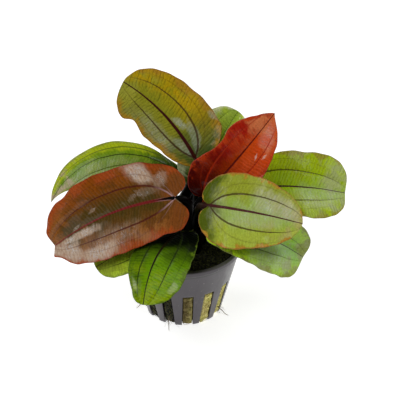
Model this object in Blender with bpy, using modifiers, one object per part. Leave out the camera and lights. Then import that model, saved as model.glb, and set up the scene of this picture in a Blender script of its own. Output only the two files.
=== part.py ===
"""Echinodorus plant in its net pot: the pot, its growing medium, the crown, ten leaves and a few roots.

Lengths are written in millimetres and angles in degrees; MM turns a length into metres. +Z is up and the
front of the plant faces -Y. The origin is the centre of the pot's underside, on the surface it stands on.
"""

import math

import bmesh
import bpy
import numpy as np
from mathutils import Matrix

MM = 0.001
GAP = 0.3  # left between two pieces that touch

# Net pot
POT_HEIGHT = 36.5
BASE_RADIUS = 18.0
WALL_TOP_RADIUS = 26.5  # outside of the wall where it meets the lip
LIP_RADIUS = 27.5
LIP_HEIGHT = 2.4
WALL = 1.3
FLOOR = 1.6
SLOTS = 14
SLOT_WIDTH = 5.0
SLOT_TOP = 20.0
SLOT_INNER_RADIUS = 11.0  # the slots run on into the floor up to this radius
FIRST_SLOT = -83.8  # the slot just right of the front
POT_STEPS = 56

# Growing medium and crown
MEDIUM_TOP = 29.0
CROWN_CENTRE = (2.0, 1.0)
CROWN_RADIUS = 5.4
CROWN_TOP = 39.0
TOP_SPREAD = 2.6  # how far from the crown's middle the stalks stand that leave its top

# Leaf blades
BLADE = 0.8  # thickness
BLADE_ROWS = 14
ROW_CROWDING = 1.25  # above 1 the rows stand closer together near the stalk
BLADE_COLUMNS = 8
PATH_STEPS = 120  # steps in which a midrib's bend is added up
KEEL_SHARE = 0.62  # the midrib stands out under this share of the blade
KEEL_SINK = 0.25  # how far below the upper face the stalk's tube stays
KEEL_TIP_RADIUS = 0.45
STALK_POINTS = 9

# Each leaf: base is where stalk and blade meet. heading is the way that the midrib runs there, seen from
# above and counted from +X, and turn what it adds up to the tip. rise and tip_rise are the midrib's
# slopes at its two ends. roll lifts the blade's right half, seen along the midrib. left and right are the
# widths of the halves, egg moves a half's widest place to the base, and square fills out its ends, the
# more the smaller it is. dents are changes of the margin: side (-1 left, 1 right), place along the blade,
# depth as a share of the width (below 0 it bulges), and length. ahead is how far the left half reaches on
# past the tip. lobe is how far the blade reaches back past its base, and tip how far its end is drawn
# out, or notched where it is below 0. fold and base_fold bend the halves up along the midrib, all over
# and near the base, and dome bends them over. wave is how far the margins swing up and down, and phase
# where along the blade they do. stalk is the stalk's radius, from_angle and from_height are where it
# leaves the crown, and arch is how far it keeps its directions at its two ends.
LEAVES = {
    "leaf_olive_upright": {
        "base": (5.5, 16.0, 70.0), "heading": 145, "turn": 30, "rise": 56, "tip_rise": 32, "roll": 45,
        "length": 48.5, "left": 14, "right": 18, "left_egg": -0.36, "right_egg": 0.08,
        "left_square": 0.62, "right_square": 0.85, "lobe": 3, "tip": 0.3, "fold": 3, "base_fold": 14,
        "dome": 0.05, "wave": 0.8, "phase": 0.3,
        "dents": [(-1, 0.63, 0.2, 0.07), (-1, 0.24, -0.17, 0.14), (1, 0.25, -0.2, 0.13),
                  (1, 0.93, 0.2, 0.06)],
        "stalk": 2.6, "from_angle": 145, "from_height": 36.0, "arch": 0.7,
        "colour": (0.33, 0.27, 0.05),
    },
    "leaf_green_back_left": {
        "base": (-3.0, 26.0, 56.0), "heading": 172, "turn": 34, "rise": 42, "tip_rise": -64, "roll": 8,
        "length": 71, "left": 16.5, "right": 13.2, "left_egg": 0.0, "right_egg": -0.1,
        "left_square": 1.5, "right_square": 0.95, "lobe": 4, "tip": 4.0, "fold": 0, "base_fold": 8,
        "dome": 0.2, "wave": 0.6, "phase": 0.0,
        "dents": [(-1, 0.85, 0.3, 0.15), (1, 0.25, 0.45, 0.12), (1, 0.55, 0.1, 0.12),
                  (1, 0.84, 0.28, 0.11)],
        "stalk": 2.2, "from_angle": 97, "from_height": 34.0, "arch": 1.8,
        "colour": (0.28, 0.40, 0.08),
    },
    "leaf_bronze_left": {
        "base": (-3.5, -2.0, 60.0), "heading": 186, "turn": 17, "rise": -2, "tip_rise": -32, "roll": 28,
        "length": 59.5, "left": 21, "right": 22.5, "left_egg": 0.08, "right_egg": 0.0,
        "left_square": 0.52, "right_square": 0.62, "lobe": 6.3, "tip": -0.8, "fold": 0, "base_fold": 8,
        "dome": 0.08, "wave": 0.7, "phase": 0.6,
        "dents": [(1, 0.69, 0.07, 0.04), (1, 0.88, 0.2, 0.08), (-1, 0.17, -0.08, 0.07),
                  (-1, 0.35, 0.06, 0.12), (-1, 0.955, 0.28, 0.045)],
        "ahead": 2.9,
        "stalk": 2.0, "from_angle": 250, "from_height": 40.5, "arch": 1.4,
        "colour": (0.30, 0.12, 0.05),
    },
    "leaf_red_young": {
        "base": (9.6, 6.6, 55.2), "heading": 8, "turn": 0, "rise": 50, "tip_rise": 55, "roll": -50,
        "length": 52, "left": 15.5, "right": 18.6, "left_egg": 0.25, "right_egg": 0.2,
        "left_square": 0.75, "right_square": 1.0, "lobe": 2, "tip": 3.0, "fold": 6, "base_fold": 40,
        "dome": 0.0, "wave": 0.7, "phase": 0.15,
        "dents": [(-1, 0.49, 0.3, 0.13), (-1, 0.85, 0.2, 0.12), (1, 0.6, 0.14, 0.15)],
        "stalk": 2.0, "from_angle": 70, "from_height": 40.5, "arch": 1.1,
        "colour": (0.45, 0.06, 0.03),
    },
    "leaf_lime_front_right": {
        "base": (12.0, -13.0, 63.3), "heading": 350, "turn": -4, "rise": -2, "tip_rise": -9, "roll": -42,
        "length": 42, "left": 16.5, "right": 18, "left_egg": 0.18, "right_egg": 0.27,
        "left_square": 0.85, "right_square": 0.72, "lobe": 4.3, "tip": 1.0, "fold": 2, "base_fold": 14,
        "dome": 0.05, "wave": 0.5, "phase": 0.4,
        "dents": [(1, 0.55, 0.05, 0.05)],
        "stalk": 1.5, "from_angle": 335, "from_height": 36.5, "arch": 1.1,
        "colour": (0.40, 0.52, 0.16),
    },
    "leaf_green_right": {
        "base": (25.0, 12.0, 55.5), "heading": 4, "turn": -6, "rise": 8, "tip_rise": -14, "roll": -24,
        "length": 51, "left": 19.5, "right": 17, "left_egg": -0.25, "right_egg": -0.15,
        "left_square": 0.6, "right_square": 0.62, "lobe": 4, "tip": -0.8, "fold": 3, "base_fold": 8,
        "dome": 0.05, "wave": 0.6, "phase": 0.7,
        "dents": [],
        "stalk": 1.4, "from_angle": 14, "from_height": 34.0, "arch": 1.1,
        "colour": (0.38, 0.50, 0.08),
    },
    "leaf_pale_low_right": {
        "base": (14.5, -13.0, 51.0), "heading": 354, "turn": -10, "rise": 4, "tip_rise": -34, "roll": -20,
        "length": 43, "left": 14.5, "right": 16.6, "left_egg": -0.3, "right_egg": -0.2,
        "left_square": 0.62, "right_square": 0.46, "lobe": 4, "tip": -0.8, "fold": 3, "base_fold": 8,
        "dome": 0.05, "wave": 0.3, "phase": 0.2,
        "dents": [],
        "stalk": 1.3, "from_angle": 308, "from_height": 33.0, "arch": 1.1,
        "colour": (0.40, 0.52, 0.18),
    },
    "leaf_green_front": {
        "base": (-1.0, -8.7, 46.2), "heading": 232, "turn": 30, "rise": 9, "tip_rise": -49, "roll": 0,
        "length": 43.8, "left": 17, "right": 11.5, "left_egg": -0.08, "right_egg": 0.05,
        "left_square": 0.7, "right_square": 0.85, "lobe": 4, "tip": 0.5, "fold": 3, "base_fold": 8,
        "dome": 0.05, "wave": 0.5, "phase": 0.5,
        "dents": [(1, 0.78, 0.2, 0.12)],
        "stalk": 1.3, "from_angle": 262, "from_height": 34.0, "arch": 1.1,
        "colour": (0.27, 0.42, 0.07),
    },
    "leaf_green_low_left": {
        "base": (-6.0, -7.0, 42.5), "heading": 204, "turn": -4, "rise": 4, "tip_rise": -28, "roll": 12,
        "length": 37, "left": 13.5, "right": 14, "left_egg": -0.1, "right_egg": 0.1,
        "left_square": 0.65, "right_square": 0.7, "lobe": 3, "tip": 0.5, "fold": 3, "base_fold": 5,
        "dome": 0.05, "wave": 0.3, "phase": 0.1,
        "dents": [],
        "stalk": 1.2, "from_angle": 214, "from_height": 33.0, "arch": 1.1,
        "colour": (0.36, 0.48, 0.08),
    },
    "leaf_green_behind": {
        "base": (8.0, 18.5, 54.0), "heading": 48, "turn": 0, "rise": 60, "tip_rise": 34, "roll": -30,
        "length": 39, "left": 15, "right": 9, "left_egg": 0.1, "right_egg": -0.1,
        "left_square": 0.65, "right_square": 0.65, "lobe": 3, "tip": 0.5, "fold": 4, "base_fold": 12,
        "dome": 0.05, "wave": 0.4, "phase": 0.9,
        "dents": [],
        "stalk": 2.1, "from_angle": 56, "from_height": 33.0, "arch": 1.1,
        "colour": (0.35, 0.50, 0.12),
    },
}
LOBE_REACH = 0.018  # the margin runs back into the lobe over this share of the blade
AHEAD_PLACE = 0.975  # where along the blade a half reaches furthest past the tip
AHEAD_LENGTH = 0.04
WAVES = 2.6  # swings of a margin along the blade
SIDE_SHIFT = 0.37  # the left margin swings this much of a wave later than the right
FOLD_REACH = 0.25  # the fold at the base fades over this share of the blade

# Roots that come out of a slot: which slot, how high, how far out, and how far they turn aside
ROOT_RADIUS = 0.35
ROOTS = {
    "root_front": {"slot": 13, "height": 5.0, "out": 5.0, "aside": 1.5},
    "root_left": {"slot": 11, "height": 6.5, "out": 4.0, "aside": -2.0},
    "root_right": {"slot": 2, "height": 4.5, "out": 5.5, "aside": 2.0},
}


def clear_scene():
    for old in list(bpy.data.objects):
        bpy.data.objects.remove(old, do_unlink=True)


def new_collection(name):
    collection = bpy.data.collections.new(name)
    bpy.context.scene.collection.children.link(collection)
    return collection


def material(name, colour, roughness):
    made = bpy.data.materials.new(name)
    made.use_nodes = True
    shader = made.node_tree.nodes["Principled BSDF"]
    shader.inputs["Base Color"].default_value = (*colour, 1.0)
    shader.inputs["Roughness"].default_value = roughness
    shader.inputs["Metallic"].default_value = 0.0
    return made


def add_object(name, mesh, collection, finish=None):
    made = bpy.data.objects.new(name, mesh)
    collection.objects.link(made)
    if finish:
        mesh.materials.append(finish)
    return made


def hide_helper(helper):
    """Marks an object that only cuts or joins another."""
    helper.hide_render = True
    helper.display_type = "WIRE"


def turned(name, profile, collection, finish, steps):
    """A solid of revolution: profile holds (radius, height) down its outer side, both ends on the axis."""
    mesh = bpy.data.meshes.new(name)
    points = [(radius * MM, 0.0, height * MM) for radius, height in profile]
    edges = [(k, k + 1) for k in range(len(points) - 1)]
    mesh.from_pydata(points, edges, [])
    made = add_object(name, mesh, collection, finish)
    screw = made.modifiers.new("turn", "SCREW")
    screw.axis = "Z"
    screw.steps = steps
    screw.render_steps = steps
    screw.use_merge_vertices = True
    screw.merge_threshold = 0.00001
    screw.use_smooth_shade = True
    return made


def wall_radius(height):
    """Outside radius of the pot's tapered wall."""
    share = height / (POT_HEIGHT - LIP_HEIGHT)
    return BASE_RADIUS + (WALL_TOP_RADIUS - BASE_RADIUS) * share


def slot_angle(index):
    return math.radians(FIRST_SLOT + 360.0 * index / SLOTS)


def make_pot(parts, helpers):
    """The tapered wall with its lip and floor, and the upright slots cut through wall and floor."""
    under_lip = POT_HEIGHT - LIP_HEIGHT
    inner_top = WALL_TOP_RADIUS - WALL + 0.3
    edge = 0.8
    profile = [
        (0.0, FLOOR),
        (wall_radius(FLOOR) - WALL, FLOOR),
        (inner_top, under_lip),
        (inner_top + 0.2, POT_HEIGHT),
        (LIP_RADIUS - 0.5, POT_HEIGHT),
        (LIP_RADIUS, POT_HEIGHT - 0.5),
        (LIP_RADIUS, under_lip + 0.3),
        (LIP_RADIUS - 0.3, under_lip),
        (wall_radius(under_lip), under_lip),
        (wall_radius(edge), edge),
        (BASE_RADIUS - edge, 0.0),
        (0.0, 0.0),
    ]
    plastic = material("pot_plastic", (0.045, 0.035, 0.05), 0.4)
    pot = turned("net_pot", profile, parts, plastic, POT_STEPS)

    cutters = bmesh.new()
    reach = LIP_RADIUS + 2.0
    depth = reach - SLOT_INNER_RADIUS
    below = 1.0
    for index in range(SLOTS):
        box = bmesh.ops.create_cube(cutters, size=1.0)["verts"]
        bmesh.ops.scale(cutters, verts=box, vec=(depth * MM, SLOT_WIDTH * MM, (SLOT_TOP + below) * MM))
        middle = (SLOT_INNER_RADIUS + depth / 2.0, 0.0, (SLOT_TOP - below) / 2.0)
        bmesh.ops.translate(cutters, verts=box, vec=[value * MM for value in middle])
        turn = Matrix.Rotation(slot_angle(index), 3, "Z")
        bmesh.ops.rotate(cutters, verts=box, cent=(0.0, 0.0, 0.0), matrix=turn)
    mesh = bpy.data.meshes.new("slot_cutters")
    cutters.to_mesh(mesh)
    cutters.free()
    slots = add_object("slot_cutters", mesh, helpers)
    hide_helper(slots)
    cut = pot.modifiers.new("slots", "BOOLEAN")
    cut.operation = "DIFFERENCE"
    cut.object = slots
    return pot


def make_medium(parts):
    """The plug of fibrous wool that fills the pot up to a little under its lip."""
    low = FLOOR + GAP
    inner = WALL + GAP
    profile = [
        (0.0, MEDIUM_TOP),
        (14.0, MEDIUM_TOP),
        (wall_radius(MEDIUM_TOP) - inner - 1.5, MEDIUM_TOP - 0.6),
        (wall_radius(MEDIUM_TOP - 2.5) - inner, MEDIUM_TOP - 2.5),
        (wall_radius(SLOT_TOP / 2.0) - inner, SLOT_TOP / 2.0),
        (wall_radius(low + 1.0) - inner, low + 1.0),
        (wall_radius(low) - inner - 1.0, low),
        (0.0, low),
    ]
    wool = material("rockwool", (0.42, 0.36, 0.18), 0.95)
    return turned("growing_medium", profile, parts, wool, 28)


def make_crown(parts):
    """The short rootstock that stands on the medium and carries the leaf stalks."""
    bottom = MEDIUM_TOP + GAP
    profile = [
        (0.0, CROWN_TOP),
        (CROWN_RADIUS * 0.45, CROWN_TOP - 0.5),
        (CROWN_RADIUS * 0.8, CROWN_TOP - 2.5),
        (CROWN_RADIUS, bottom + 4.0),
        (CROWN_RADIUS * 0.95, bottom + 1.0),
        (CROWN_RADIUS * 0.7, bottom),
        (0.0, bottom),
    ]
    tissue = material("crown_tissue", (0.10, 0.07, 0.03), 0.7)
    crown = turned("crown", profile, parts, tissue, 16)
    crown.location = (CROWN_CENTRE[0] * MM, CROWN_CENTRE[1] * MM, 0.0)
    return crown


def midrib(leaf):
    """The midrib's points and the blade's three directions along it: forward, to the right, and up."""
    share = np.linspace(0.0, 1.0, PATH_STEPS + 1)
    slope = np.radians(leaf["rise"] + (leaf["tip_rise"] - leaf["rise"]) * share)
    heading = np.radians(leaf["heading"] + leaf["turn"] * share)
    roll = math.radians(leaf["roll"])
    ahead = np.cos(slope)
    forward = np.stack([ahead * np.cos(heading), ahead * np.sin(heading), np.sin(slope)], axis=1)
    level = np.stack([np.sin(heading), -np.cos(heading), np.zeros_like(heading)], axis=1)
    upright = np.cross(level, forward)
    right = level * math.cos(roll) + upright * math.sin(roll)
    up = upright * math.cos(roll) - level * math.sin(roll)
    steps = (forward[1:] + forward[:-1]) / 2.0 * leaf["length"] / PATH_STEPS
    points = np.vstack([np.zeros(3), np.cumsum(steps, axis=0)]) + np.array(leaf["base"])
    return share, points, forward, right, up


def row_share(evenly):
    """Where a row lies from stalk to tip, for rows counted evenly from 0 to 1."""
    return evenly**ROW_CROWDING


def read_along(share, values, where):
    """The values at the shares where, by linear steps."""
    return np.stack([np.interp(where, share, values[:, axis]) for axis in range(3)], axis=-1)


def flat_blade(leaf, row, across):
    """The flat outline: row is 0 at the stalk and 1 at the tip, across -1 and 1 at the margins."""
    left = across < 0.0
    width = np.where(left, leaf["left"], leaf["right"])
    egg = np.where(left, leaf["left_egg"], leaf["right_egg"])
    square = np.where(left, leaf["left_square"], leaf["right_square"])
    turn = np.pi * np.clip(row, 0.0, 1.0)
    swell = np.sin(turn).clip(0.0, 1.0) ** square * (1.0 + egg * np.cos(turn))
    for side, place, depth, length in leaf["dents"]:
        swell = swell * (1.0 - (across * side > 0.0) * depth * np.exp(-(((row - place) / length) ** 2)))
    run = (1.0 - np.cos(turn)) / 2.0
    reach = leaf["length"] - max(leaf["tip"], 0.0)
    end = leaf["tip"] * row**20
    back = leaf["lobe"] * (1.0 - np.exp(-row / LOBE_REACH))
    lobe_end = np.exp(-(((row - AHEAD_PLACE) / AHEAD_LENGTH) ** 2)) * (1.0 - row**150)
    ahead = leaf.get("ahead", 0.0) * left * lobe_end
    margin_along = (reach + leaf["lobe"]) * run - back + end + ahead
    margin_aside = width * swell
    rib_along = reach * (0.45 * row**1.25 + 0.55 * run) + end
    share = np.abs(across)
    along = rib_along + share * (margin_along - rib_along)
    return along, np.sign(across) * share * margin_aside


def bent_blade(leaf, along, aside):
    """Carries flat points onto the bent midrib, with the blade's folds, dome and wavy margins."""
    share, points, forward, right, up = midrib(leaf)
    place = along / leaf["length"]
    where = np.clip(place, 0.0, 1.0)
    width = np.where(aside < 0.0, leaf["left"], leaf["right"])
    fold = np.radians(leaf["fold"] + leaf["base_fold"] * np.exp(-np.maximum(place, 0.0) / FOLD_REACH))
    swing = np.sin(2.0 * np.pi * (WAVES * place + leaf["phase"] + SIDE_SHIFT * (aside < 0.0)))
    wave = leaf["wave"] * (aside / width) ** 2 * swing
    lateral = aside * np.cos(fold)
    height = np.abs(aside) * np.sin(fold) - leaf["dome"] * aside**2 / width + wave
    past_ends = np.minimum(along, 0.0) + np.maximum(along - leaf["length"], 0.0)
    return (
        read_along(share, points, where)
        + read_along(share, forward, where) * past_ends[:, None]
        + read_along(share, right, where) * lateral[:, None]
        + read_along(share, up, where) * height[:, None]
    )


def blade_mesh(name, leaf):
    """A grid carried onto the leaf's upper face, its end rows drawn together at the stalk and the tip."""
    grid = bmesh.new()
    bmesh.ops.create_grid(grid, x_segments=BLADE_ROWS, y_segments=BLADE_COLUMNS, size=1.0)
    flat = np.array([vertex.co for vertex in grid.verts])
    row = row_share((flat[:, 0] + 1.0) / 2.0)
    across = -flat[:, 1]
    along, aside = flat_blade(leaf, row, across)
    placed = bent_blade(leaf, along, aside) * MM
    for vertex, point in zip(grid.verts, placed):
        vertex.co = point
    bmesh.ops.remove_doubles(grid, verts=grid.verts, dist=0.00001)
    mesh = bpy.data.meshes.new(name)
    grid.to_mesh(mesh)
    grid.free()
    return mesh


def crown_point(leaf):
    """Where the stalk's first point lies beside the crown, and the way that it leaves."""
    angle = math.radians(leaf["from_angle"])
    outward = np.array([math.cos(angle), math.sin(angle), 0.0])
    centre = np.array([CROWN_CENTRE[0], CROWN_CENTRE[1], leaf["from_height"]])
    on_top = leaf["from_height"] > CROWN_TOP - 1.0
    distance = TOP_SPREAD if on_top else CROWN_RADIUS + GAP + 1.1 * leaf["stalk"]
    leaving = outward * (0.05 if on_top else 0.8) + np.array([0.0, 0.0, 1.0])
    return centre + outward * distance, leaving / np.linalg.norm(leaving)


def stalk_path(leaf):
    """Centre line and radius of the stalk: from the crown to the blade, then on under the midrib."""
    share, points, forward, right, up = midrib(leaf)
    start, leaving = crown_point(leaf)
    sink = leaf["stalk"] + KEEL_SINK
    end = points[0] - up[0] * sink - forward[0] * leaf["stalk"]
    pull = leaf["arch"] * np.linalg.norm(end - start)
    free = np.linspace(0.0, 1.0, STALK_POINTS)[:, None]
    # cubic Hermite curve between the two ends
    stalk = (
        (2 * free**3 - 3 * free**2 + 1) * start
        + (free**3 - 2 * free**2 + free) * leaving * pull
        + (-2 * free**3 + 3 * free**2) * end
        + (free**3 - free**2) * forward[0] * pull
    )
    base_width = 1.25 - 0.25 * np.minimum(free[:, 0] / 0.3, 1.0)
    radius = leaf["stalk"] * base_width

    rows = row_share(np.arange(2, BLADE_ROWS + 1) / BLADE_ROWS)
    rib_along, _ = flat_blade(leaf, rows, np.zeros_like(rows))
    where = rib_along[rib_along < KEEL_SHARE * leaf["length"]] / leaf["length"]
    keel_radius = leaf["stalk"] + (KEEL_TIP_RADIUS - leaf["stalk"]) * (where / KEEL_SHARE) ** 0.7
    sunk = read_along(share, up, where) * (keel_radius + KEEL_SINK)[:, None]
    keel = read_along(share, points, where) - sunk
    return np.vstack([stalk, keel]), np.concatenate([radius, keel_radius])


def tube(name, points, radii, resolution):
    """A round tube with closed ends along points, as a mesh object that is in no collection yet."""
    curve = bpy.data.curves.new(name, "CURVE")
    curve.dimensions = "3D"
    curve.bevel_depth = MM
    curve.bevel_resolution = resolution
    curve.use_fill_caps = True
    spline = curve.splines.new("POLY")
    spline.points.add(len(points) - 1)
    for point, place, radius in zip(spline.points, points, radii):
        point.co = (*(place * MM), 1.0)
        point.radius = radius
    guide = bpy.data.objects.new(name, curve)
    bpy.context.scene.collection.objects.link(guide)
    bpy.context.view_layer.update()
    evaluated = guide.evaluated_get(bpy.context.evaluated_depsgraph_get())
    mesh = bpy.data.meshes.new_from_object(evaluated)
    bpy.data.objects.remove(guide, do_unlink=True)
    welded = bmesh.new()
    welded.from_mesh(mesh)
    bmesh.ops.remove_doubles(welded, verts=welded.verts, dist=0.000001)
    welded.to_mesh(mesh)
    welded.free()
    mesh.name = name
    return mesh


def make_leaf(name, leaf, parts, helpers):
    """One leaf: the blade is a bent sheet given its thickness, joined with its stalk and midrib."""
    finish = material(name + "_tissue", leaf["colour"], 0.35)
    blade = add_object(name, blade_mesh(name, leaf), parts, finish)
    blade.data.shade_smooth()
    thicken = blade.modifiers.new("thickness", "SOLIDIFY")
    thicken.thickness = BLADE * MM
    thicken.offset = -1.0
    points, radii = stalk_path(leaf)
    stalk = add_object(name + "_stalk", tube(name + "_stalk", points, radii, 1), helpers)
    hide_helper(stalk)
    join = blade.modifiers.new("stalk", "BOOLEAN")
    join.operation = "UNION"
    join.object = stalk
    return blade


def make_root(name, root, parts):
    """A root that comes out of a slot of the pot and bends down beside it."""
    angle = slot_angle(root["slot"])
    outward = np.array([math.cos(angle), math.sin(angle), 0.0])
    sideways = np.array([-math.sin(angle), math.cos(angle), 0.0])
    share = np.linspace(0.0, 1.0, 8)[:, None]
    start = wall_radius(root["height"]) - WALL + ROOT_RADIUS
    height = root["height"] * np.cos(share * math.pi / 2.0) ** 1.5 + 2.0 * ROOT_RADIUS
    points = (
        outward * (start + root["out"] * share)
        + sideways * root["aside"] * share**2
        + np.array([0.0, 0.0, 1.0]) * height
    )
    radii = np.linspace(ROOT_RADIUS, ROOT_RADIUS * 0.5, 8)
    tissue = material(name + "_tissue", (0.16, 0.12, 0.07), 0.8)
    return add_object(name, tube(name, points, radii, 1), parts, tissue)


def main():
    clear_scene()
    parts = new_collection("echinodorus_in_net_pot")
    helpers = new_collection("cutters_and_joined_pieces")
    make_pot(parts, helpers)
    make_medium(parts)
    make_crown(parts)
    for name, leaf in LEAVES.items():
        make_leaf(name, leaf, parts, helpers)
    for name, root in ROOTS.items():
        make_root(name, root, parts)


if __name__ == "__main__":
    main()
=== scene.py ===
import math

import bmesh
import bpy
import numpy as np
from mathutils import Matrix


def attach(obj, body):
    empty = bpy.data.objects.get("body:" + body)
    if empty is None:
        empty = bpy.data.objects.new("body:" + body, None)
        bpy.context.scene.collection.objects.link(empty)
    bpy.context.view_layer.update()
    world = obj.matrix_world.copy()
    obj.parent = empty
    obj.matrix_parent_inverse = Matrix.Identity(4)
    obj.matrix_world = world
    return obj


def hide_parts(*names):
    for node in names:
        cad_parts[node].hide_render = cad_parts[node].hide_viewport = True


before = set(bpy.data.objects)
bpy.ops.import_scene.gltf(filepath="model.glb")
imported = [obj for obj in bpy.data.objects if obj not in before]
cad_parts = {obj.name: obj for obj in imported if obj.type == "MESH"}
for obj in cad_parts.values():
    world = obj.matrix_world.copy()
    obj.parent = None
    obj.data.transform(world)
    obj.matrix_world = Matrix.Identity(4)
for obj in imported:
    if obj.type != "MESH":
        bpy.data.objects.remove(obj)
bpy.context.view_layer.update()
mm = 0.001  # the shapes below are worked out in millimetres
scene = bpy.context.scene


# Shader tools: a value given to a node is a socket of the same tree, a number or a colour

def feed(target, value):
    # a socket is linked to the target; a number, vector or colour is set on it
    if hasattr(value, "is_linked"):
        target.id_data.links.new(value, target)
    elif hasattr(value, "__len__") and len(value) < len(target.default_value):
        target.default_value = (*value, 1.0)
    else:
        target.default_value = value


def feedAll(targets, *values):
    # the values go to the targets in turn
    for target, value in zip(targets, values):
        feed(target, value)


def addNode(kind, values, **settings):
    # a node in the tree of the first socket among its values, which go to its inputs by name or number
    tree = next(value.id_data for value in values.values() if hasattr(value, "is_linked"))
    made = tree.nodes.new("ShaderNode" + kind)
    for key, setting in settings.items():
        setattr(made, key, setting)
    for key, value in values.items():
        feed(made.inputs[key], value)
    return made


def calc(operation, *values):
    # one Math node
    return addNode("Math", dict(enumerate(values)), operation=operation).outputs[0]


def times(first, second):
    # first * second
    return calc("MULTIPLY", first, second)


def vectorCalc(operation, first, second):
    # one Vector Math node
    return addNode("VectorMath", {0: first, 1: second}, operation=operation).outputs[0]


def mixColour(share, first, second, blend="MIX"):
    # first * (1 - share) + second * share, or another blend of the two
    return addNode("Mix", {0: share, 6: first, 7: second}, data_type="RGBA", blend_type=blend).outputs[2]


def ramp(value, low, high, start=0.0, end=1.0):
    # start where value is under low, end where it is over high, and 3t^2 - 2t^3 between them
    values = dict(enumerate((value, low, high, start, end)))
    return addNode("MapRange", values, interpolation_type="SMOOTHSTEP").outputs[0]


def fade(value, low, high):
    # 1 where value is under low and 0 where it is over high
    return ramp(value, low, high, 1.0, 0.0)


def paintOver(colour, look, masks):
    # colours of the look laid over another in turn, each of them where its mask is 1
    for key, mask in masks.items():
        colour = mixColour(mask, colour, look[key])
    return colour


def noise(vector, scale, detail=3.0, roughness=0.55):
    # soft noise round 0.5, finer with more detail
    values = {"Vector": vector, "Scale": scale, "Detail": detail, "Roughness": roughness}
    return addNode("TexNoise", values).outputs["Fac"]


def parts(vector):
    # x, y and z of a vector
    return addNode("SeparateXYZ", {0: vector}).outputs


def readAttribute(tree, name):
    # a vector that the piece keeps at its points
    made = tree.nodes.new("ShaderNodeAttribute")
    made.attribute_name = name
    return made.outputs["Vector"]


def objectPlace(tree):
    # the point itself, in metres
    return tree.nodes.new("ShaderNodeTexCoord").outputs["Object"]


def makeGroup(name, inputs, outputs):
    # an empty shader group with named sockets; an input's default tells whether it is a number or a vector
    tree = bpy.data.node_groups.new(name, "ShaderNodeTree")
    for label, default in inputs.items():
        kind = "NodeSocketVector" if isinstance(default, tuple) else "NodeSocketFloat"
        tree.interface.new_socket(name=label, in_out="INPUT", socket_type=kind).default_value = default
    for label in outputs:
        tree.interface.new_socket(name=label, in_out="OUTPUT", socket_type="NodeSocketFloat")
    return tree, tree.nodes.new("NodeGroupInput").outputs, tree.nodes.new("NodeGroupOutput").inputs


def useGroup(group, values):
    # the outputs of a group placed with its own values
    return addNode("Group", values, node_tree=group).outputs


def newFinish(name, values):
    # a material whose Principled sockets are set straight to values
    finish = bpy.data.materials.new(name)
    finish.use_nodes = True
    sockets = finish.node_tree.nodes["Principled BSDF"].inputs
    for label, value in values.items():
        feed(sockets[label], value)
    return finish, finish.node_tree, sockets


def addBump(sockets, height, distance, strength):
    # relief under the light: height * distance, in metres
    made = addNode("Bump", {"Height": height, "Distance": distance, "Strength": strength})
    feed(sockets["Normal"], made.outputs[0])


# Camera, light and floor

viewSettings = {
    "lift": 33.0,  # degrees above the level
    "distance": 600.0,
    "target": (7.8, 0.0, 57.6),
    "lens": 120.0,
    "sensor": 36.0,
    "clip": (0.01, 20.0),
}
lightSettings = {
    "skyStrength": 0.10,
    "target": (0.0, 0.0, 50.0),
    "distance": 850.0,
    "lamps": {
        # compass angle from +X, height angle, width, height, watts
        "softboxFrontLeft": (-138.0, 53.0, 500.0, 400.0, 2.9),
        "softboxRight": (20.0, 55.0, 460.0, 380.0, 2.5),
        "softboxBackLeft": (152.0, 38.0, 460.0, 320.0, 2.0),
    },
}
floorLook = {
    "half": 6.0,  # metres
    "finish": {
        "Base Color": (0.45, 0.45, 0.45),
        "Roughness": 0.9,
        "Specular IOR Level": 0.0,
        "Emission Color": (1.0, 1.0, 1.0),
        "Emission Strength": 0.85,  # white paper that glows a little, as on a light table
    },
}


def stand(name, data, settings, compass, lift):
    # at target + distance * (cos lift cos compass, cos lift sin compass, sin lift), where a tilt of 90 less
    # the lift and a turn of the compass angle and 90 degrees make it face the target
    turn, slope = math.radians(compass), math.radians(lift)
    way = np.array([math.cos(slope) * math.cos(turn), math.cos(slope) * math.sin(turn), math.sin(slope)])
    thing = bpy.data.objects.new(name, data)
    thing.location = (np.array(settings["target"]) + settings["distance"] * way) * mm
    thing.rotation_euler = (math.pi / 2.0 - slope, 0.0, turn + math.pi / 2.0)
    scene.collection.objects.link(thing)
    return thing


def makeCamera():
    # in front of the plant, looking down on it
    data = bpy.data.cameras.new("plantCamera")
    data.lens = viewSettings["lens"]
    data.sensor_width = viewSettings["sensor"]
    data.clip_start, data.clip_end = viewSettings["clip"]
    scene.camera = stand("plantCamera", data, viewSettings, -90.0, viewSettings["lift"])


def makeLights():
    # softboxes that face the plant, and an even pale sky
    for name, (compass, lift, width, height, watts) in lightSettings["lamps"].items():
        data = bpy.data.lights.new(name, "AREA")
        data.shape = "RECTANGLE"
        data.size, data.size_y = width * mm, height * mm
        data.energy = watts
        stand(name, data, lightSettings, compass, lift)
    world = bpy.data.worlds.new("studioSky")
    world.use_nodes = True
    sky = world.node_tree.nodes["Background"]
    sky.inputs["Color"].default_value = (1.0, 1.0, 1.0, 1.0)
    sky.inputs["Strength"].default_value = lightSettings["skyStrength"]
    scene.world = world
    scene.view_settings.view_transform = "Standard"


def makeFloor():
    # one large level square under the pot
    half = floorLook["half"]
    mesh = bpy.data.meshes.new("studioFloor")
    corners = [(-half, -half, 0), (half, -half, 0), (half, half, 0), (-half, half, 0)]
    mesh.from_pydata(corners, [], [(0, 1, 2, 3)])
    mesh.materials.append(newFinish("floorPaper", floorLook["finish"])[0])
    floor = bpy.data.objects.new("studioFloor", mesh)
    scene.collection.objects.link(floor)


makeCamera()
makeLights()
makeFloor()
print("stage set")


# Numpy shapes: a shape is an array of points and a list of arrays of quads or triangles

tubeShape = {"ridges": 5.0, "ridgeHeight": 0.05}  # low ridges along stalks and roots
upward = np.array([0.0, 0.0, 1.0])


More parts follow.
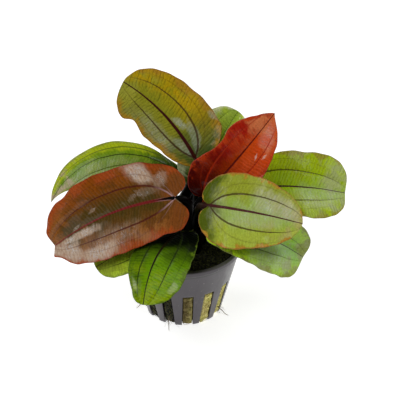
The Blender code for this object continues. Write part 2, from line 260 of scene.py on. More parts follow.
def ripples(x, y, size, seed, count=12):
    # smooth noise of about -1 to 1: the sum of plane waves of lengths near size, with drawn turns and phases
    draw = np.random.default_rng(seed)
    total = np.zeros(np.broadcast(x, y).shape)
    turns, phases = draw.uniform(0, 2 * np.pi, (2, count))
    for turn, phase, length in zip(turns, phases, draw.uniform(0.7, 1.6, count) * size):
        total += np.sin(2 * np.pi * (x * np.cos(turn) + y * np.sin(turn)) / length + phase)
    return total / np.sqrt(count)


def unit(vectors):
    # each vector divided by its own length
    return vectors / np.maximum(np.linalg.norm(vectors, axis=-1, keepdims=True), 1e-9)


def smoothStep(low, high, value):
    # 3t^2 - 2t^3 between low and high, 0 before and 1 after
    share = np.clip((value - low) / (high - low), 0.0, 1.0)
    return share * share * (3.0 - 2.0 * share)


def runAlong(corners):
    # each corner's distance from the first, along the line through them
    return np.concatenate([[0.0], np.cumsum(np.linalg.norm(np.diff(corners, axis=0), axis=1))])


def fullTurn(count):
    # evenly spaced angles of a whole turn
    return np.arange(count) / count * 2.0 * np.pi


def turned(radius, turn, height):
    # (radius cos turn, radius sin turn, height)
    return np.stack(np.broadcast_arrays(radius * np.cos(turn), radius * np.sin(turn), height), axis=-1)


def gridFaces(index, closed=False):
    # quads between the neighbours of an index grid, whose columns go round when closed
    if closed:
        index = np.concatenate([index, index[:, :1]], axis=1)
    return np.stack([index[:-1, :-1], index[:-1, 1:], index[1:, 1:], index[1:, :-1]], axis=-1).reshape(-1, 4)


def fanFaces(point, ring, closed=False):
    # triangles from one point to each pair of neighbours along a ring
    follow = np.roll(ring, -1) if closed else ring[1:]
    ring = ring if closed else ring[:-1]
    return np.stack([np.full(len(ring), point), ring, follow], axis=1)


def closedShell(grid):
    # a grid whose columns go round and whose first and last rows are one point each
    rows, columns = grid.shape[:2]
    index = 1 + np.arange((rows - 2) * columns).reshape(rows - 2, columns)
    points = np.vstack([grid[0, :1], grid[1:-1].reshape(-1, 3), grid[-1, :1]])
    first = fanFaces(0, index[0], closed=True)[:, ::-1]
    return points, [gridFaces(index, closed=True), first, fanFaces(len(points) - 1, index[-1], closed=True)]


def rings(centres, radii, ways, across, sides):
    # centre + radius * (cos(angle) * across + sin(angle) * over), with over square to the way and to across
    angle = fullTurn(sides)[:, None]
    spokes = np.cos(angle) * across[..., None, :] + np.sin(angle) * np.cross(ways, across)[..., None, :]
    return centres[..., None, :] + radii[..., None] * spokes


def tube(centres, radii, level, sides):
    # ridged rings round a path, closed to a point at both ends, with across as near to level as the path lets
    # it; also gives how far along the path each point lies
    ways = unit(np.gradient(centres, axis=0))
    across = unit(level - ways * np.sum(level * ways, axis=1, keepdims=True))
    ridge = 1.0 + tubeShape["ridgeHeight"] * np.cos(tubeShape["ridges"] * fullTurn(sides))
    skin = rings(centres, radii[:, None] * ridge, ways, across, sides)
    count = len(centres)
    points = np.vstack([skin.reshape(-1, 3), centres[:1], centres[-1:]])
    index = np.arange(count * sides).reshape(count, sides)
    first = fanFaces(count * sides, index[0], closed=True)
    last = fanFaces(count * sides + 1, index[-1], closed=True)[:, ::-1]
    run = runAlong(centres)
    along = np.concatenate([np.repeat(run / run[-1], sides), [0.0, 1.0]])
    return points, [gridFaces(index, closed=True), first, last], along


def strands(centres, radius, outward, taper=0.5):
    # three-sided tubes along many paths at once, closed with a triangle at both ends, towards which the
    # radius shrinks to taper with the cube of the distance from the middle; centres is (count, steps, 3)
    count, steps, _ = centres.shape
    ways = unit(np.gradient(centres, axis=1))
    thin = 1.0 - (1.0 - taper) * np.abs(np.linspace(-1.0, 1.0, steps)) ** 3
    size = radius[:, None] * thin
    skin = rings(centres, size[..., None], ways, unit(np.cross(outward, ways)), 3)
    index = np.arange(count * steps * 3).reshape(count, steps, 3)
    around = np.roll(index, -1, axis=2)
    quads = np.stack([index[:, :-1], around[:, :-1], around[:, 1:], index[:, 1:]], axis=-1).reshape(-1, 4)
    ends = np.vstack([index[:, 0, ::-1], index[:, -1]])
    return skin.reshape(-1, 3), [quads, ends]


def joined(*shapes):
    # several shapes as one, their faces counted on from shape to shape
    starts = np.cumsum([0] + [len(points) for points, _ in shapes])
    faces = [block + start for (_, blocks), start in zip(shapes, starts) for block in blocks]
    return np.vstack([points for points, _ in shapes]), faces


def makePiece(name, shape, finishes, faceFinish=None, layers=None):
    # a mesh from a shape in millimetres; layers are vectors kept at its points; every shell faces outwards
    points, faces = shape
    mesh = bpy.data.meshes.new(name)
    sizes = np.concatenate([np.full(len(block), block.shape[1]) for block in faces])
    corners = np.concatenate([block.ravel() for block in faces])
    mesh.vertices.add(len(points))
    mesh.vertices.foreach_set("co", np.asarray(points * mm, dtype=np.float32).ravel())
    mesh.loops.add(len(corners))
    mesh.loops.foreach_set("vertex_index", corners.astype(np.int32))
    mesh.polygons.add(len(sizes))
    mesh.polygons.foreach_set("loop_start", (np.cumsum(sizes) - sizes).astype(np.int32))
    for finish in finishes:
        mesh.materials.append(finish)
    if faceFinish is not None:
        mesh.polygons.foreach_set("material_index", np.asarray(faceFinish, dtype=np.int32))
    mesh.update(calc_edges=True)
    for key, values in (layers or {}).items():
        layer = mesh.attributes.new(key, "FLOAT_VECTOR", "POINT")
        layer.data.foreach_set("vector", np.asarray(values, dtype=np.float32).ravel())
    mesh.shade_smooth()
    turnedMesh = bmesh.new()
    turnedMesh.from_mesh(mesh)
    bmesh.ops.recalc_face_normals(turnedMesh, faces=turnedMesh.faces)
    turnedMesh.to_mesh(mesh)
    turnedMesh.free()
    made = bpy.data.objects.new(name, mesh)
    scene.collection.objects.link(made)
    return made


# Shader groups

noVector = (0.0, 0.0, 0.0)


def makeVeinGroup():
    # main veins are lines of a given width along the midrib and the side veins; cross veins are thin lines
    # every pitch along the cross coordinate, shaken a little, and both give a relief
    tree, given, result = makeGroup(
        "leafVeins",
        {"Gaps": noVector, "Flat": noVector, "Place": noVector, "Rib Width": 1.5, "Side Width": 1.1,
         "Pitch": 1.5},
        ["Midrib", "Side Veins", "Cross Veins", "Relief"],
    )
    flat = given["Flat"]
    row = parts(given["Place"])[0]
    toRib, toInner, toOuter = parts(given["Gaps"])
    ribWidth = times(given["Rib Width"], ramp(row, 0.0, 1.0, 1.0, 0.28))
    midrib = fade(calc("DIVIDE", calc("ABSOLUTE", toRib), ribWidth), 0.36, 0.6)
    sideWidth = times(given["Side Width"], ramp(row, 0.05, 0.9, 1.0, 0.4))
    wander = calc("MULTIPLY_ADD", noise(flat, 0.45, 2.0), 0.4, -0.2)
    lines = []
    for gap, low, high, strength in ((toInner, 0.25, 0.65, 1.0), (toOuter, 0.1, 0.55, 0.3)):
        away = calc("ABSOLUTE", calc("ADD", gap, wander))
        lines.append(ramp(calc("DIVIDE", away, sideWidth), low, high, strength, 0.0))
    side = times(calc("MAXIMUM", *lines), ramp(row, 0.7, 0.97, 1.0, 0.35))
    shake = calc("MULTIPLY_ADD", noise(flat, 0.25, 2.0), 2.0, -1.0)
    crossAt = calc("ADD", parts(flat)[2], shake)
    beat = calc("PINGPONG", calc("DIVIDE", crossAt, given["Pitch"]), 0.5)
    faint = ramp(noise(flat, 0.3, 2.0), 0.36, 0.6, 0.12, 1.0)
    cross = times(fade(beat, 0.0, 0.2), faint)
    puff = times(ramp(beat, 0.0, 0.5), 0.5)
    relief = calc("SUBTRACT", puff, calc("SUBTRACT", side, times(midrib, 0.8)))
    feedAll(result, midrib, side, cross, relief)
    return tree


def makeFilmGroup():
    # a painted highlight patch in the blade's own coordinates, (|x|^4 + |y|^4)^(1/4) < 1 once slanted, its
    # edge torn by noise and streaked along the cross veins, where the wet blade mirrors a softbox; thin
    # painted glint threads run inside it
    tree, given, result = makeGroup(
        "paleFilm",
        {"Place": noVector, "Flat": noVector, "Centre": (0.5, 0.0, 0.0), "Size": (0.2, 0.3, 1.0),
         "Slant": 0.0, "Tear": 0.6},
        ["Film", "Glints"],
    )
    away = vectorCalc("DIVIDE", vectorCalc("SUBTRACT", given["Place"], given["Centre"]), given["Size"])
    x, y, _ = parts(away)
    slanted = calc("ADD", x, times(y, given["Slant"]))
    fourths = [calc("POWER", calc("ABSOLUTE", value), 4.0) for value in (slanted, y)]
    distance = calc("POWER", calc("ADD", *fourths), 0.25)
    coarse = noise(given["Flat"], 0.22, 2.0, 0.5)
    _, aside, crossAt = parts(given["Flat"])
    streaked = addNode("CombineXYZ", {0: times(crossAt, 1.3), 1: times(aside, 0.6)}).outputs[0]
    fine = noise(streaked, 0.9, 5.0, 0.7)
    grain = calc("SUBTRACT", calc("ADD", coarse, fine), 1.0)
    torn = calc("ADD", distance, times(grain, given["Tear"]))
    sheenMask = times(fade(torn, 0.5, 1.15), ramp(fine, 0.36, 0.6, 0.55, 1.0))
    wrinkle = calc("ABSOLUTE", calc("SUBTRACT", noise(streaked, 0.75, 3.0, 0.7), 0.5))
    thread = times(fade(wrinkle, 0.0, 0.03), fade(torn, 0.5, 1.0))
    feedAll(result, sheenMask, times(thread, ramp(coarse, 0.42, 0.58)))
    return tree


def makeMottleGroup():
    # soft clouds, a fine grain and specks, on any coordinates
    inputs = {"Vector": noVector, "Scale": 0.12}
    tree, given, result = makeGroup("mottle", inputs, ["Clouds", "Grain", "Specks"])
    scaled = addNode("VectorMath", {key: given[key] for key in inputs}, operation="SCALE").outputs[0]
    clouds = ramp(noise(scaled, 1.0, 3.0, 0.6), 0.32, 0.68)
    feedAll(result, clouds, noise(scaled, 9.0, 3.0, 0.6), ramp(noise(scaled, 5.0, 1.0), 0.70, 0.76))
    return tree


veinGroup = makeVeinGroup()
sheenGroup = makeFilmGroup()
mottleGroup = makeMottleGroup()
print("shader groups made")


def mottledFinish(name, values, scale, first, second, bump):
    # soft clouds between two colours, with a fine grain in relief
    finish, tree, sockets = newFinish(name, values)
    mottle = useGroup(mottleGroup, {"Vector": objectPlace(tree), "Scale": scale})
    feed(sockets["Base Color"], mixColour(mottle["Clouds"], first, second))
    addBump(sockets, mottle["Grain"], *bump)
    return finish


# Leaves

leafShared = {
    "rows": 120,
    "columns": 91,
    "crowding": 1.25,  # above 1 the rows stand closer together near the stalk
    "pathSteps": 120,
    "thickness": 0.5,
    "trim": 0.983,  # the finished margin stays this share inside the solid's
    "tipTrim": 0.3,
    "lobeReach": 0.018,
    "aheadPlace": 0.975,  # where along the blade a half reaches furthest past the tip
    "aheadLength": 0.04,
    "ribEven": 0.45,  # above 0 the rows spread more evenly along the rib than along the margin
    "ruffle": 0.008,  # small unevenness of the margin, as a share of the width
    "waves": 2.6,
    "sideShift": 0.37,
    "foldReach": 0.25,
    "veinReach": (0.50, 0.84),  # how far out the side veins run, as shares of a half's width
    "veinSpread": 0.15,  # share of the blade along which they part from the midrib
    "crossSlant": 0.30,
    "grooves": ((0.22, 1.3), (0.16, 1.0)),  # depth and width along the midrib and the inner side veins
    "unevenness": ((0.10, 9.0), (0.02, 2.6)),  # height and size of soft waves and of puckers
    "calm": (0.08, 0.88, 0.85),  # where the relief is full after the stalk, and fades to tip and margin
    "topSpread": 2.6,
    "gap": 0.3,
    "lean": (0.05, 0.8),  # how far a stalk leans out where it leaves the crown's top or its side
    "footSwell": 0.25,  # how much thicker a stalk is at the crown
    "stalkSteps": 46,
    "stalkSides": 18,
    "keelSteps": 44,
    "keelReach": (0.03, 0.62),  # shares of the midrib between which the stalk runs on under the blade
    "keelSink": 0.25,
    "keelRise": 0.30,  # how far the finished stalk comes up through the blade's base
    "keelTip": 0.45,
    "edgePowers": (10, 60, 40),  # higher ones keep the blade thick nearer to margin, stalk and tip
}
bladeLook = {
    "crossTint": (0.40, 0.44, 0.36),
    # glint is the colour of the painted glint threads, a painted highlight
    "glint": (0.56, 0.58, 0.59),
    "underside": (0.16, 0.17, 0.08),
    # nearly black where the stalks leave the crown: painted shade of the plant's middle
    "stalkShade": (0.0015, 0.001, 0.0008),
}
crownLook = {  # the knob that every stalk starts from, made further down
    "centre": (2.0, 1.0),
    "radius": 5.4,
    "bottom": 29.3,
    "top": 39.0,
    "rows": 40,
    "columns": 72,
    "flutes": 9.0,
    "fluteDepth": 0.05,
    "trim": 0.95,  # the finished knob stays this share inside the solid's
    # nearly black with slightly paler mottling: painted shade of the plant's middle
    "colour": (0.003, 0.002, 0.001),
    "pale": (0.020, 0.016, 0.008),
}

# Shape: base is where stalk and blade meet; heading, turn, rise and tipRise steer the midrib, roll lifts the
# right half; width, egg and square are of the left and right halves; dents are side, place, depth, length.
# Colours: field is the blade's, left its left half's, heart lies beside the midrib, blotch comes and goes
# with the clouds, edge is the margin's, foot the base's and tipColour the end's; the foot is mostly darker,
# partly the base's own tone and partly painted shade where the crown and the leaves above shadow it. The
# sheen patches are painted highlights, pale patches in their own colour where the wet blade would mirror a
# softbox: along, across, half length, half width, slant, tear, strength. leafUsual holds what a leaf doesn't
# give itself.
leafUsual = {
    "lobe": 4, "fold": 3, "baseFold": 8, "dome": 0.05, "wave": 0.5, "dents": [], "ahead": 0.0, "arch": 1.1,
    "blotches": 0.5, "edgeStart": 0.85, "footStart": 0.0, "tipReach": 0.25, "crossStrength": 0.3,
    "coat": 0.14, "heartReach": 0.6, "sheenPatches": [],
}
leaves = {
    "leaf_olive_upright": {
        "base": (5.5, 16.0, 70.0), "heading": 145, "turn": 30, "rise": 56, "tipRise": 32, "roll": 45,
        "length": 48.5, "width": (14, 18), "egg": (-0.36, 0.08), "square": (0.62, 0.85), "lobe": 3,
        "tip": 0.3, "baseFold": 14, "wave": 0.8, "phase": 0.3, "dents": [(-1, 0.63, 0.2, 0.07),
        (-1, 0.24, -0.17, 0.14), (1, 0.25, -0.2, 0.13), (1, 0.93, 0.2, 0.06)], "stalk": 2.6,
        "fromAngle": 145, "fromHeight": 36.0, "arch": 0.7, "field": (0.451, 0.299, 0.004),
        "left": (0.252, 0.244, 0.04), "heart": (0.26, 0.254, 0.012), "blotch": (0.27, 0.275, 0.01),
        "blotches": 0.6, "edge": (0.4, 0.215, 0.013), "edgeStart": 0.72, "rim": (0.3, 0.12, 0.02),
        "foot": (0.085, 0.12, 0.02), "footReach": 0.4, "tipColour": (0.323, 0.313, 0.031), "tipReach": 0.2,
        "vein": (0.045, 0.004, 0.005), "sideVein": (0.05, 0.016, 0.005), "ribWidth": 1.7,
        "crossStrength": 0.8, "coat": 0.16, "sheenPatches": [(0.12, -0.22, 0.14, 0.24, 0.2, 1.3, 0.42),
        (0.17, 0.28, 0.15, 0.14, -0.2, 1.3, 0.42), (0.34, 0.16, 0.07, 0.11, 0.5, 1.6, 0.6),
        (0.24, 0.93, 0.05, 0.1, 0.5, 1.5, 0.3), (0.4, -0.62, 0.3, 0.32, 0.0, 1.2, 0.22)],
        "sheenColour": (0.46, 0.5, 0.38),
    },
    "leaf_green_back_left": {
        "base": (-3.0, 26.0, 56.0), "heading": 172, "turn": 34, "rise": 42, "tipRise": -64, "roll": 8,
        "length": 71, "width": (16.5, 13.2), "egg": (0.0, -0.1), "square": (1.5, 0.95), "tip": 4.0,
        "fold": 0, "dome": 0.2, "wave": 0.6, "phase": 0.0, "dents": [(-1, 0.85, 0.3, 0.15),
        (1, 0.25, 0.45, 0.12), (1, 0.55, 0.1, 0.12), (1, 0.84, 0.28, 0.11)], "stalk": 2.2, "fromAngle": 97,
        "fromHeight": 34.0, "arch": 1.8, "field": (0.363, 0.441, 0.006), "left": (0.188, 0.259, 0.023),
        "heart": (0.157, 0.264, 0.004), "blotch": (0.364, 0.432, 0.007), "blotches": 0.2,
        "edge": (0.25, 0.29, 0.02), "edgeStart": 0.8, "rim": (0.3, 0.33, 0.06), "foot": (0.016, 0.05, 0.001),
        "footReach": 0.32, "tipColour": (0.44, 0.33, 0.221), "vein": (0.04, 0.06, 0.004),
        "sideVein": (0.08, 0.12, 0.008), "ribWidth": 1.0, "crossStrength": 0.5, "heartReach": 0.5,
        "sheenPatches": [(0.6, -0.5, 0.36, 0.6, 0.0, 0.8, 0.16)], "sheenColour": (0.42, 0.55, 0.36),
    },
    "leaf_bronze_left": {
        "base": (-3.5, -2.0, 60.0), "heading": 186, "turn": 17, "rise": -2, "tipRise": -32, "roll": 28,
        "length": 59.5, "width": (21, 22.5), "egg": (0.08, 0.0), "square": (0.52, 0.62), "lobe": 6.3,
        "tip": -0.8, "fold": 0, "dome": 0.08, "wave": 0.7, "phase": 0.6, "dents": [(1, 0.69, 0.07, 0.04),
        (1, 0.88, 0.2, 0.08), (-1, 0.17, -0.08, 0.07), (-1, 0.35, 0.06, 0.12), (-1, 0.955, 0.28, 0.045)],
        "ahead": 2.9, "stalk": 2.0, "fromAngle": 250, "fromHeight": 40.5, "arch": 1.4,
        "field": (0.231, 0.055, 0.002), "left": (0.288, 0.103, 0.02), "heart": (0.071, 0.04, 0.004),
        "blotch": (0.12, 0.04, 0.003), "blotches": 0.9, "edge": (0.33, 0.06, 0.008), "edgeStart": 0.7,
        "rim": (0.33, 0.04, 0.012), "foot": (0.19, 0.055, 0.008), "footReach": 0.14,
        "tipColour": (0.24, 0.08, 0.01), "vein": (0.17, 0.013, 0.013), "sideVein": (0.072, 0.008, 0.005),
        "ribWidth": 1.6, "crossStrength": 0.55, "coat": 0.07, "heartReach": 0.75,
        # its veins are paler near the base: partly their own tone and partly a painted highlight on the
        # midrib
        "veinFootAndHighlight": (0.42, 0.25, 0.25), "sheenPatches": [(0.225, 0.74, 0.085, 0.3, -0.45, 0.6, 1.0),
        (0.09, 0.6, 0.05, 0.25, 0.4, 1.5, 0.4), (0.22, 0.25, 0.1, 0.14, 0.6, 1.9, 0.22),
        (0.8, -0.17, 0.2, 0.13, 0.0, 1.0, 1.0), (0.93, -0.55, 0.13, 0.4, 0.0, 1.0, 1.0),
        (0.7, -0.79, 0.18, 0.21, 0.2, 0.9, 1.0), (0.55, -0.6, 0.25, 0.3, 0.2, 1.4, 0.2),
        (0.61, 0.24, 0.03, 0.05, 0.8, 1.6, 0.35), (0.775, 0.07, 0.03, 0.05, 0.5, 1.6, 0.4)],
        "sheenColour": (0.52, 0.39, 0.285),
    },
    "leaf_red_young": {
        "base": (9.6, 6.6, 55.2), "heading": 8, "turn": 0, "rise": 50, "tipRise": 55, "roll": -50,
        "length": 52, "width": (15.5, 18.6), "egg": (0.25, 0.2), "square": (0.75, 1.0), "lobe": 2,
        "tip": 3.0, "fold": 6, "baseFold": 40, "dome": 0.0, "wave": 0.7, "phase": 0.15,
        "dents": [(-1, 0.49, 0.3, 0.13), (-1, 0.85, 0.2, 0.12), (1, 0.6, 0.14, 0.15)], "stalk": 2.0,
        "fromAngle": 70, "fromHeight": 40.5, "field": (0.605, 0.057, 0.004), "left": (0.369, 0.011, 0.002),
        "heart": (0.554, 0.057, 0.002), "blotch": (0.599, 0.087, 0.01), "blotches": 0.3,
        "edge": (0.506, 0.045, 0.005), "rim": (0.45, 0.06, 0.04), "foot": (0.05, 0.001, 0.0003),
        "footReach": 0.6, "tipColour": (0.602, 0.164, 0.057), "tipReach": 0.35, "vein": (0.12, 0.006, 0.003),
        "sideVein": (0.4, 0.024, 0.003), "ribWidth": 1.1, "coat": 0.16, "heartReach": 0.4,
        "sheenPatches": [(0.6, 0.45, 0.03, 0.05, 0.7, 1.4, 0.9), (0.65, 0.7, 0.025, 0.05, -0.7, 1.4, 0.9),
        (0.8, 0.5, 0.12, 0.35, 0.0, 0.9, 0.25)], "sheenColour": (0.75, 0.42, 0.32),
    },
    "leaf_lime_front_right": {
        "base": (12.0, -13.0, 63.3), "heading": 350, "turn": -4, "rise": -2, "tipRise": -9, "roll": -42,
        "length": 42, "width": (16.5, 18), "egg": (0.18, 0.27), "square": (0.85, 0.72), "lobe": 4.3,
        "tip": 1.0, "fold": 2, "baseFold": 14, "phase": 0.4, "dents": [(1, 0.55, 0.05, 0.05)], "stalk": 1.5,
        "fromAngle": 335, "fromHeight": 36.5, "field": (0.417, 0.498, 0.051), "left": (0.35, 0.393, 0.043),
        "heart": (0.324, 0.463, 0.065), "blotch": (0.311, 0.362, 0.016), "blotches": 0.6,
        "edge": (0.472, 0.262, 0.026), "edgeStart": 0.92, "rim": (0.42, 0.14, 0.04),
        "foot": (0.083, 0.114, 0.004), "footReach": 0.18, "tipColour": (0.454, 0.436, 0.118),
        "tipReach": 0.3, "vein": (0.08, 0.018, 0.018), "sideVein": (0.06, 0.03, 0.01), "ribWidth": 1.4,
        "crossStrength": 0.15, "coat": 0.2, "sheenPatches": [(0.7, -0.35, 0.3, 0.5, 0.0, 0.9, 0.5),
        (0.5, 0.15, 0.35, 0.35, 0.0, 1.2, 0.3), (0.09, 0.0, 0.1, 0.75, 0.0, 1.8, 0.18)],
        "sheenColour": (0.58, 0.56, 0.42),
    },
    "leaf_green_right": {
        "base": (25.0, 12.0, 55.5), "heading": 4, "turn": -6, "rise": 8, "tipRise": -14, "roll": -24,
        "length": 51, "width": (19.5, 17), "egg": (-0.25, -0.15), "square": (0.6, 0.62), "tip": -0.8,
        "wave": 0.6, "phase": 0.7, "stalk": 1.4, "fromAngle": 14, "fromHeight": 34.0,
        "field": (0.402, 0.535, 0.01), "left": (0.371, 0.503, 0.001), "heart": (0.316, 0.487, 0.005),
        "blotch": (0.325, 0.403, 0.006), "blotches": 0.6, "edge": (0.32, 0.3, 0.02),
        "rim": (0.33, 0.3, 0.05), "foot": (0.16, 0.26, 0.008), "footReach": 0.3,
        "tipColour": (0.351, 0.419, 0.108), "vein": (0.05, 0.01, 0.01), "sideVein": (0.07, 0.05, 0.005),
        "ribWidth": 1.3, "crossStrength": 0.6, "sheenPatches": [(0.74, 0.3, 0.26, 0.45, 0.0, 0.6, 0.35)],
        "sheenColour": (0.48, 0.55, 0.36),
    },
    "leaf_pale_low_right": {
        "base": (14.5, -13.0, 51.0), "heading": 354, "turn": -10, "rise": 4, "tipRise": -34, "roll": -20,
        "length": 43, "width": (14.5, 16.6), "egg": (-0.3, -0.2), "square": (0.62, 0.46), "tip": -0.8,
        "wave": 0.3, "phase": 0.2, "stalk": 1.3, "fromAngle": 308, "fromHeight": 33.0,
        "field": (0.41, 0.649, 0.039), "left": (0.449, 0.703, 0.04), "heart": (0.315, 0.656, 0.044),
        "blotch": (0.21, 0.33, 0.015), "blotches": 0.35, "edge": (0.3, 0.35, 0.06),
        # its foot is painted lighter: painted light where leaf_lime_front_right shades its base
        "rim": (0.33, 0.36, 0.12), "foot": (0.62, 0.98, 0.01), "footReach": 0.55,
        "tipColour": (0.348, 0.413, 0.1), "tipReach": 0.2, "vein": (0.11, 0.12, 0.05),
        "sideVein": (0.14, 0.2, 0.04), "ribWidth": 1.1, "crossStrength": 0.15, "coat": 0.12,
        "sheenPatches": [(0.65, 0.35, 0.33, 0.6, 0.0, 1.1, 0.42)], "sheenColour": (0.5, 0.58, 0.42),
    },
    "leaf_green_front": {
        "base": (-1.0, -8.7, 46.2), "heading": 232, "turn": 30, "rise": 9, "tipRise": -49, "roll": 0,
        "length": 43.8, "width": (17, 11.5), "egg": (-0.08, 0.05), "square": (0.7, 0.85), "tip": 0.5,
        "phase": 0.5, "dents": [(1, 0.78, 0.2, 0.12)], "stalk": 1.3, "fromAngle": 262, "fromHeight": 34.0,
        "field": (0.084, 0.166, 0.001), "left": (0.14, 0.3, 0.001), "heart": (0.143, 0.304, 0.001),
        "blotch": (0.115, 0.215, 0.001), "blotches": 0.25, "edge": (0.11, 0.19, 0.006), "edgeStart": 0.94,
        # its foot is nearly black over most of the blade: painted shade where leaf_bronze_left shades it
        "rim": (0.15, 0.22, 0.03), "foot": (0.002, 0.004, 0.001), "footStart": 0.18, "footReach": 0.68,
        "tipColour": (0.242, 0.355, 0.001), "tipReach": 0.4, "vein": (0.016, 0.012, 0.003),
        "sideVein": (0.018, 0.034, 0.003), "ribWidth": 1.3, "crossStrength": 0.8, "coat": 0.05,
        "heartReach": 0.5, "sheenPatches": [(0.8, 0.74, 0.07, 0.16, 0.4, 1.2, 0.45),
        (0.78, -0.82, 0.07, 0.12, 0.4, 1.2, 0.5)], "sheenColour": (0.52, 0.6, 0.3),
    },
    "leaf_green_low_left": {
        "base": (-6.0, -7.0, 42.5), "heading": 204, "turn": -4, "rise": 4, "tipRise": -28, "roll": 12,
        "length": 37, "width": (13.5, 14), "egg": (-0.1, 0.1), "square": (0.65, 0.7), "lobe": 3, "tip": 0.5,
        "baseFold": 5, "wave": 0.3, "phase": 0.1, "stalk": 1.2, "fromAngle": 214, "fromHeight": 33.0,
        "field": (0.579, 0.807, 0.058), "left": (0.466, 0.641, 0.039), "heart": (0.285, 0.435, 0.018),
        "blotch": (0.39, 0.493, 0.018), "edge": (0.24, 0.33, 0.03), "rim": (0.24, 0.32, 0.06),
        "foot": (0.05, 0.12, 0.005), "footReach": 0.5, "tipColour": (0.351, 0.455, 0.039), "tipReach": 0.3,
        "vein": (0.06, 0.05, 0.01), "sideVein": (0.09, 0.12, 0.01), "ribWidth": 1.1, "coat": 0.16,
    },
    "leaf_green_behind": {
        "base": (8.0, 18.5, 54.0), "heading": 48, "turn": 0, "rise": 60, "tipRise": 34, "roll": -30,
        "length": 39, "width": (15, 9), "egg": (0.1, -0.1), "square": (0.65, 0.65), "lobe": 3, "tip": 0.5,
        "fold": 4, "baseFold": 12, "wave": 0.4, "phase": 0.9, "stalk": 2.1, "fromAngle": 56,
        "fromHeight": 33.0, "field": (0.69, 0.811, 0.098), "left": (0.468, 0.624, 0.044),
        # its pale edge is a painted highlight, the gloss along the margin
        "heart": (0.289, 0.45, 0.022), "blotch": (0.547, 0.643, 0.07), "edge": (0.721, 0.748, 0.444),
        "edgeStart": 0.62, "rim": (0.33, 0.42, 0.2), "foot": (0.03, 0.08, 0.004), "footReach": 0.5,
        "tipColour": (0.304, 0.429, 0.045), "tipReach": 0.3, "vein": (0.12, 0.2, 0.015),
        "sideVein": (0.14, 0.23, 0.016), "ribWidth": 0.9, "coat": 0.2,
    },
}


def halves(leaf, key, aside):
    # the left half's value where aside is negative, and the right half's elsewhere
    return np.where(aside < 0.0, leaf[key][0], leaf[key][1])


def midribPath(leaf):
    # slope and heading change evenly along the rib; the points are the summed steps forward, and right and up
    # are the level and upright directions across it, turned by the roll
    steps = leafShared["pathSteps"]
    share = np.linspace(0.0, 1.0, steps + 1)
    slope = np.radians(leaf["rise"] + (leaf["tipRise"] - leaf["rise"]) * share)
    heading = np.radians(leaf["heading"] + leaf["turn"] * share)
    roll = math.radians(leaf["roll"])
    forward = turned(np.cos(slope), heading, np.sin(slope))
    level = np.stack([np.sin(heading), -np.cos(heading), np.zeros_like(heading)], axis=1)
    upright = np.cross(level, forward)
    strides = (forward[1:] + forward[:-1]) / 2.0 * leaf["length"] / steps
    return {
        "share": share,
        "points": np.vstack([np.zeros(3), np.cumsum(strides, axis=0)]) + np.array(leaf["base"]),
        "forward": forward,
        "right": level * math.cos(roll) + upright * math.sin(roll),
        "up": upright * math.cos(roll) - level * math.sin(roll),
    }


def readPath(path, key, where):
    # the path's values at the shares where, by straight steps
    return np.stack([np.interp(where, path["share"], path[key][:, axis]) for axis in range(3)], axis=-1)


def flatBlade(leaf, row, across):
    # half width = width * sin(pi row)^square * (1 + egg cos(pi row)), less the dents; the margin starts at
    # the stalk, runs back round the lobe and then along with (1 - cos(pi row)) / 2 to the tip, where a half
    # may reach ahead; a point lies its share of the way from rib to margin
    shared = leafShared
    turn = np.pi * np.clip(row, 0.0, 1.0)
    swell = np.sin(turn).clip(0.0, 1.0) ** halves(leaf, "square", across)
    swell = swell * (1.0 + halves(leaf, "egg", across) * np.cos(turn))
    for side, place, depth, length in leaf["dents"]:
        swell = swell * (1.0 - (across * side > 0.0) * depth * np.exp(-(((row - place) / length) ** 2)))
    beats = (41.0, 9.0), (67.0, 5.0 * across)
    ruffle = sum(np.sin(row * beat + shift * leaf["phase"]) for beat, shift in beats)
    marginAside = halves(leaf, "width", across) * shared["trim"] * (swell * (1.0 + shared["ruffle"] * ruffle))
    run = (1.0 - np.cos(turn)) / 2.0
    reach = leaf["length"] - max(leaf["tip"], 0.0)
    end = leaf["tip"] * row**20 - shared["tipTrim"] * row**6
    back = leaf["lobe"] * (1.0 - np.exp(-row / shared["lobeReach"]))
    lobeEnd = np.exp(-(((row - shared["aheadPlace"]) / shared["aheadLength"]) ** 2)) * (1.0 - row**150)
    marginAlong = (reach + leaf["lobe"]) * run - back + end + leaf["ahead"] * (across < 0.0) * lobeEnd
    even = shared["ribEven"]
    ribAlong = reach * (even * row**1.25 + (1.0 - even) * run) + end
    share = np.abs(across)
    return ribAlong + share * (marginAlong - ribAlong), np.sign(across) * share * marginAside


def bentBlade(leaf, path, along, aside):
    # the flat point carried onto the bent rib: aside turned up by the fold, less the dome, plus the wave
    place = along / leaf["length"]
    where = np.clip(place, 0.0, 1.0)
    width = halves(leaf, "width", aside)
    baseShare = np.exp(-np.maximum(place, 0.0) / leafShared["foldReach"])
    fold = np.radians(leaf["fold"] + leaf["baseFold"] * baseShare)
    beat = leafShared["waves"] * place + leaf["phase"] + leafShared["sideShift"] * (aside < 0.0)
    wave = leaf["wave"] * (aside / width) ** 2 * np.sin(2.0 * np.pi * beat)
    pastEnds = np.minimum(along, 0.0) + np.maximum(along - leaf["length"], 0.0)
    height = np.abs(aside) * np.sin(fold) - leaf["dome"] * aside**2 / width + wave
    points = readPath(path, "points", where)
    for key, step in (("forward", pastEnds), ("right", aside * np.cos(fold)), ("up", height)):
        points = points + readPath(path, key, where) * step[..., None]
    return points


def veinGap(leaf, place, aside, reach):
    # distance from a side vein that runs at reach * width * (1 - e^(-place / spread)) * sqrt(1 - place^3)
    inside = np.clip(place, 0.0, 1.0)
    parting = 1.0 - np.exp(-inside / leafShared["veinSpread"])
    out = reach * halves(leaf, "width", aside) * parting * np.sqrt(1.0 - inside**3)
    return np.abs(aside) - out + 3.0 * np.minimum(place, 0.0)


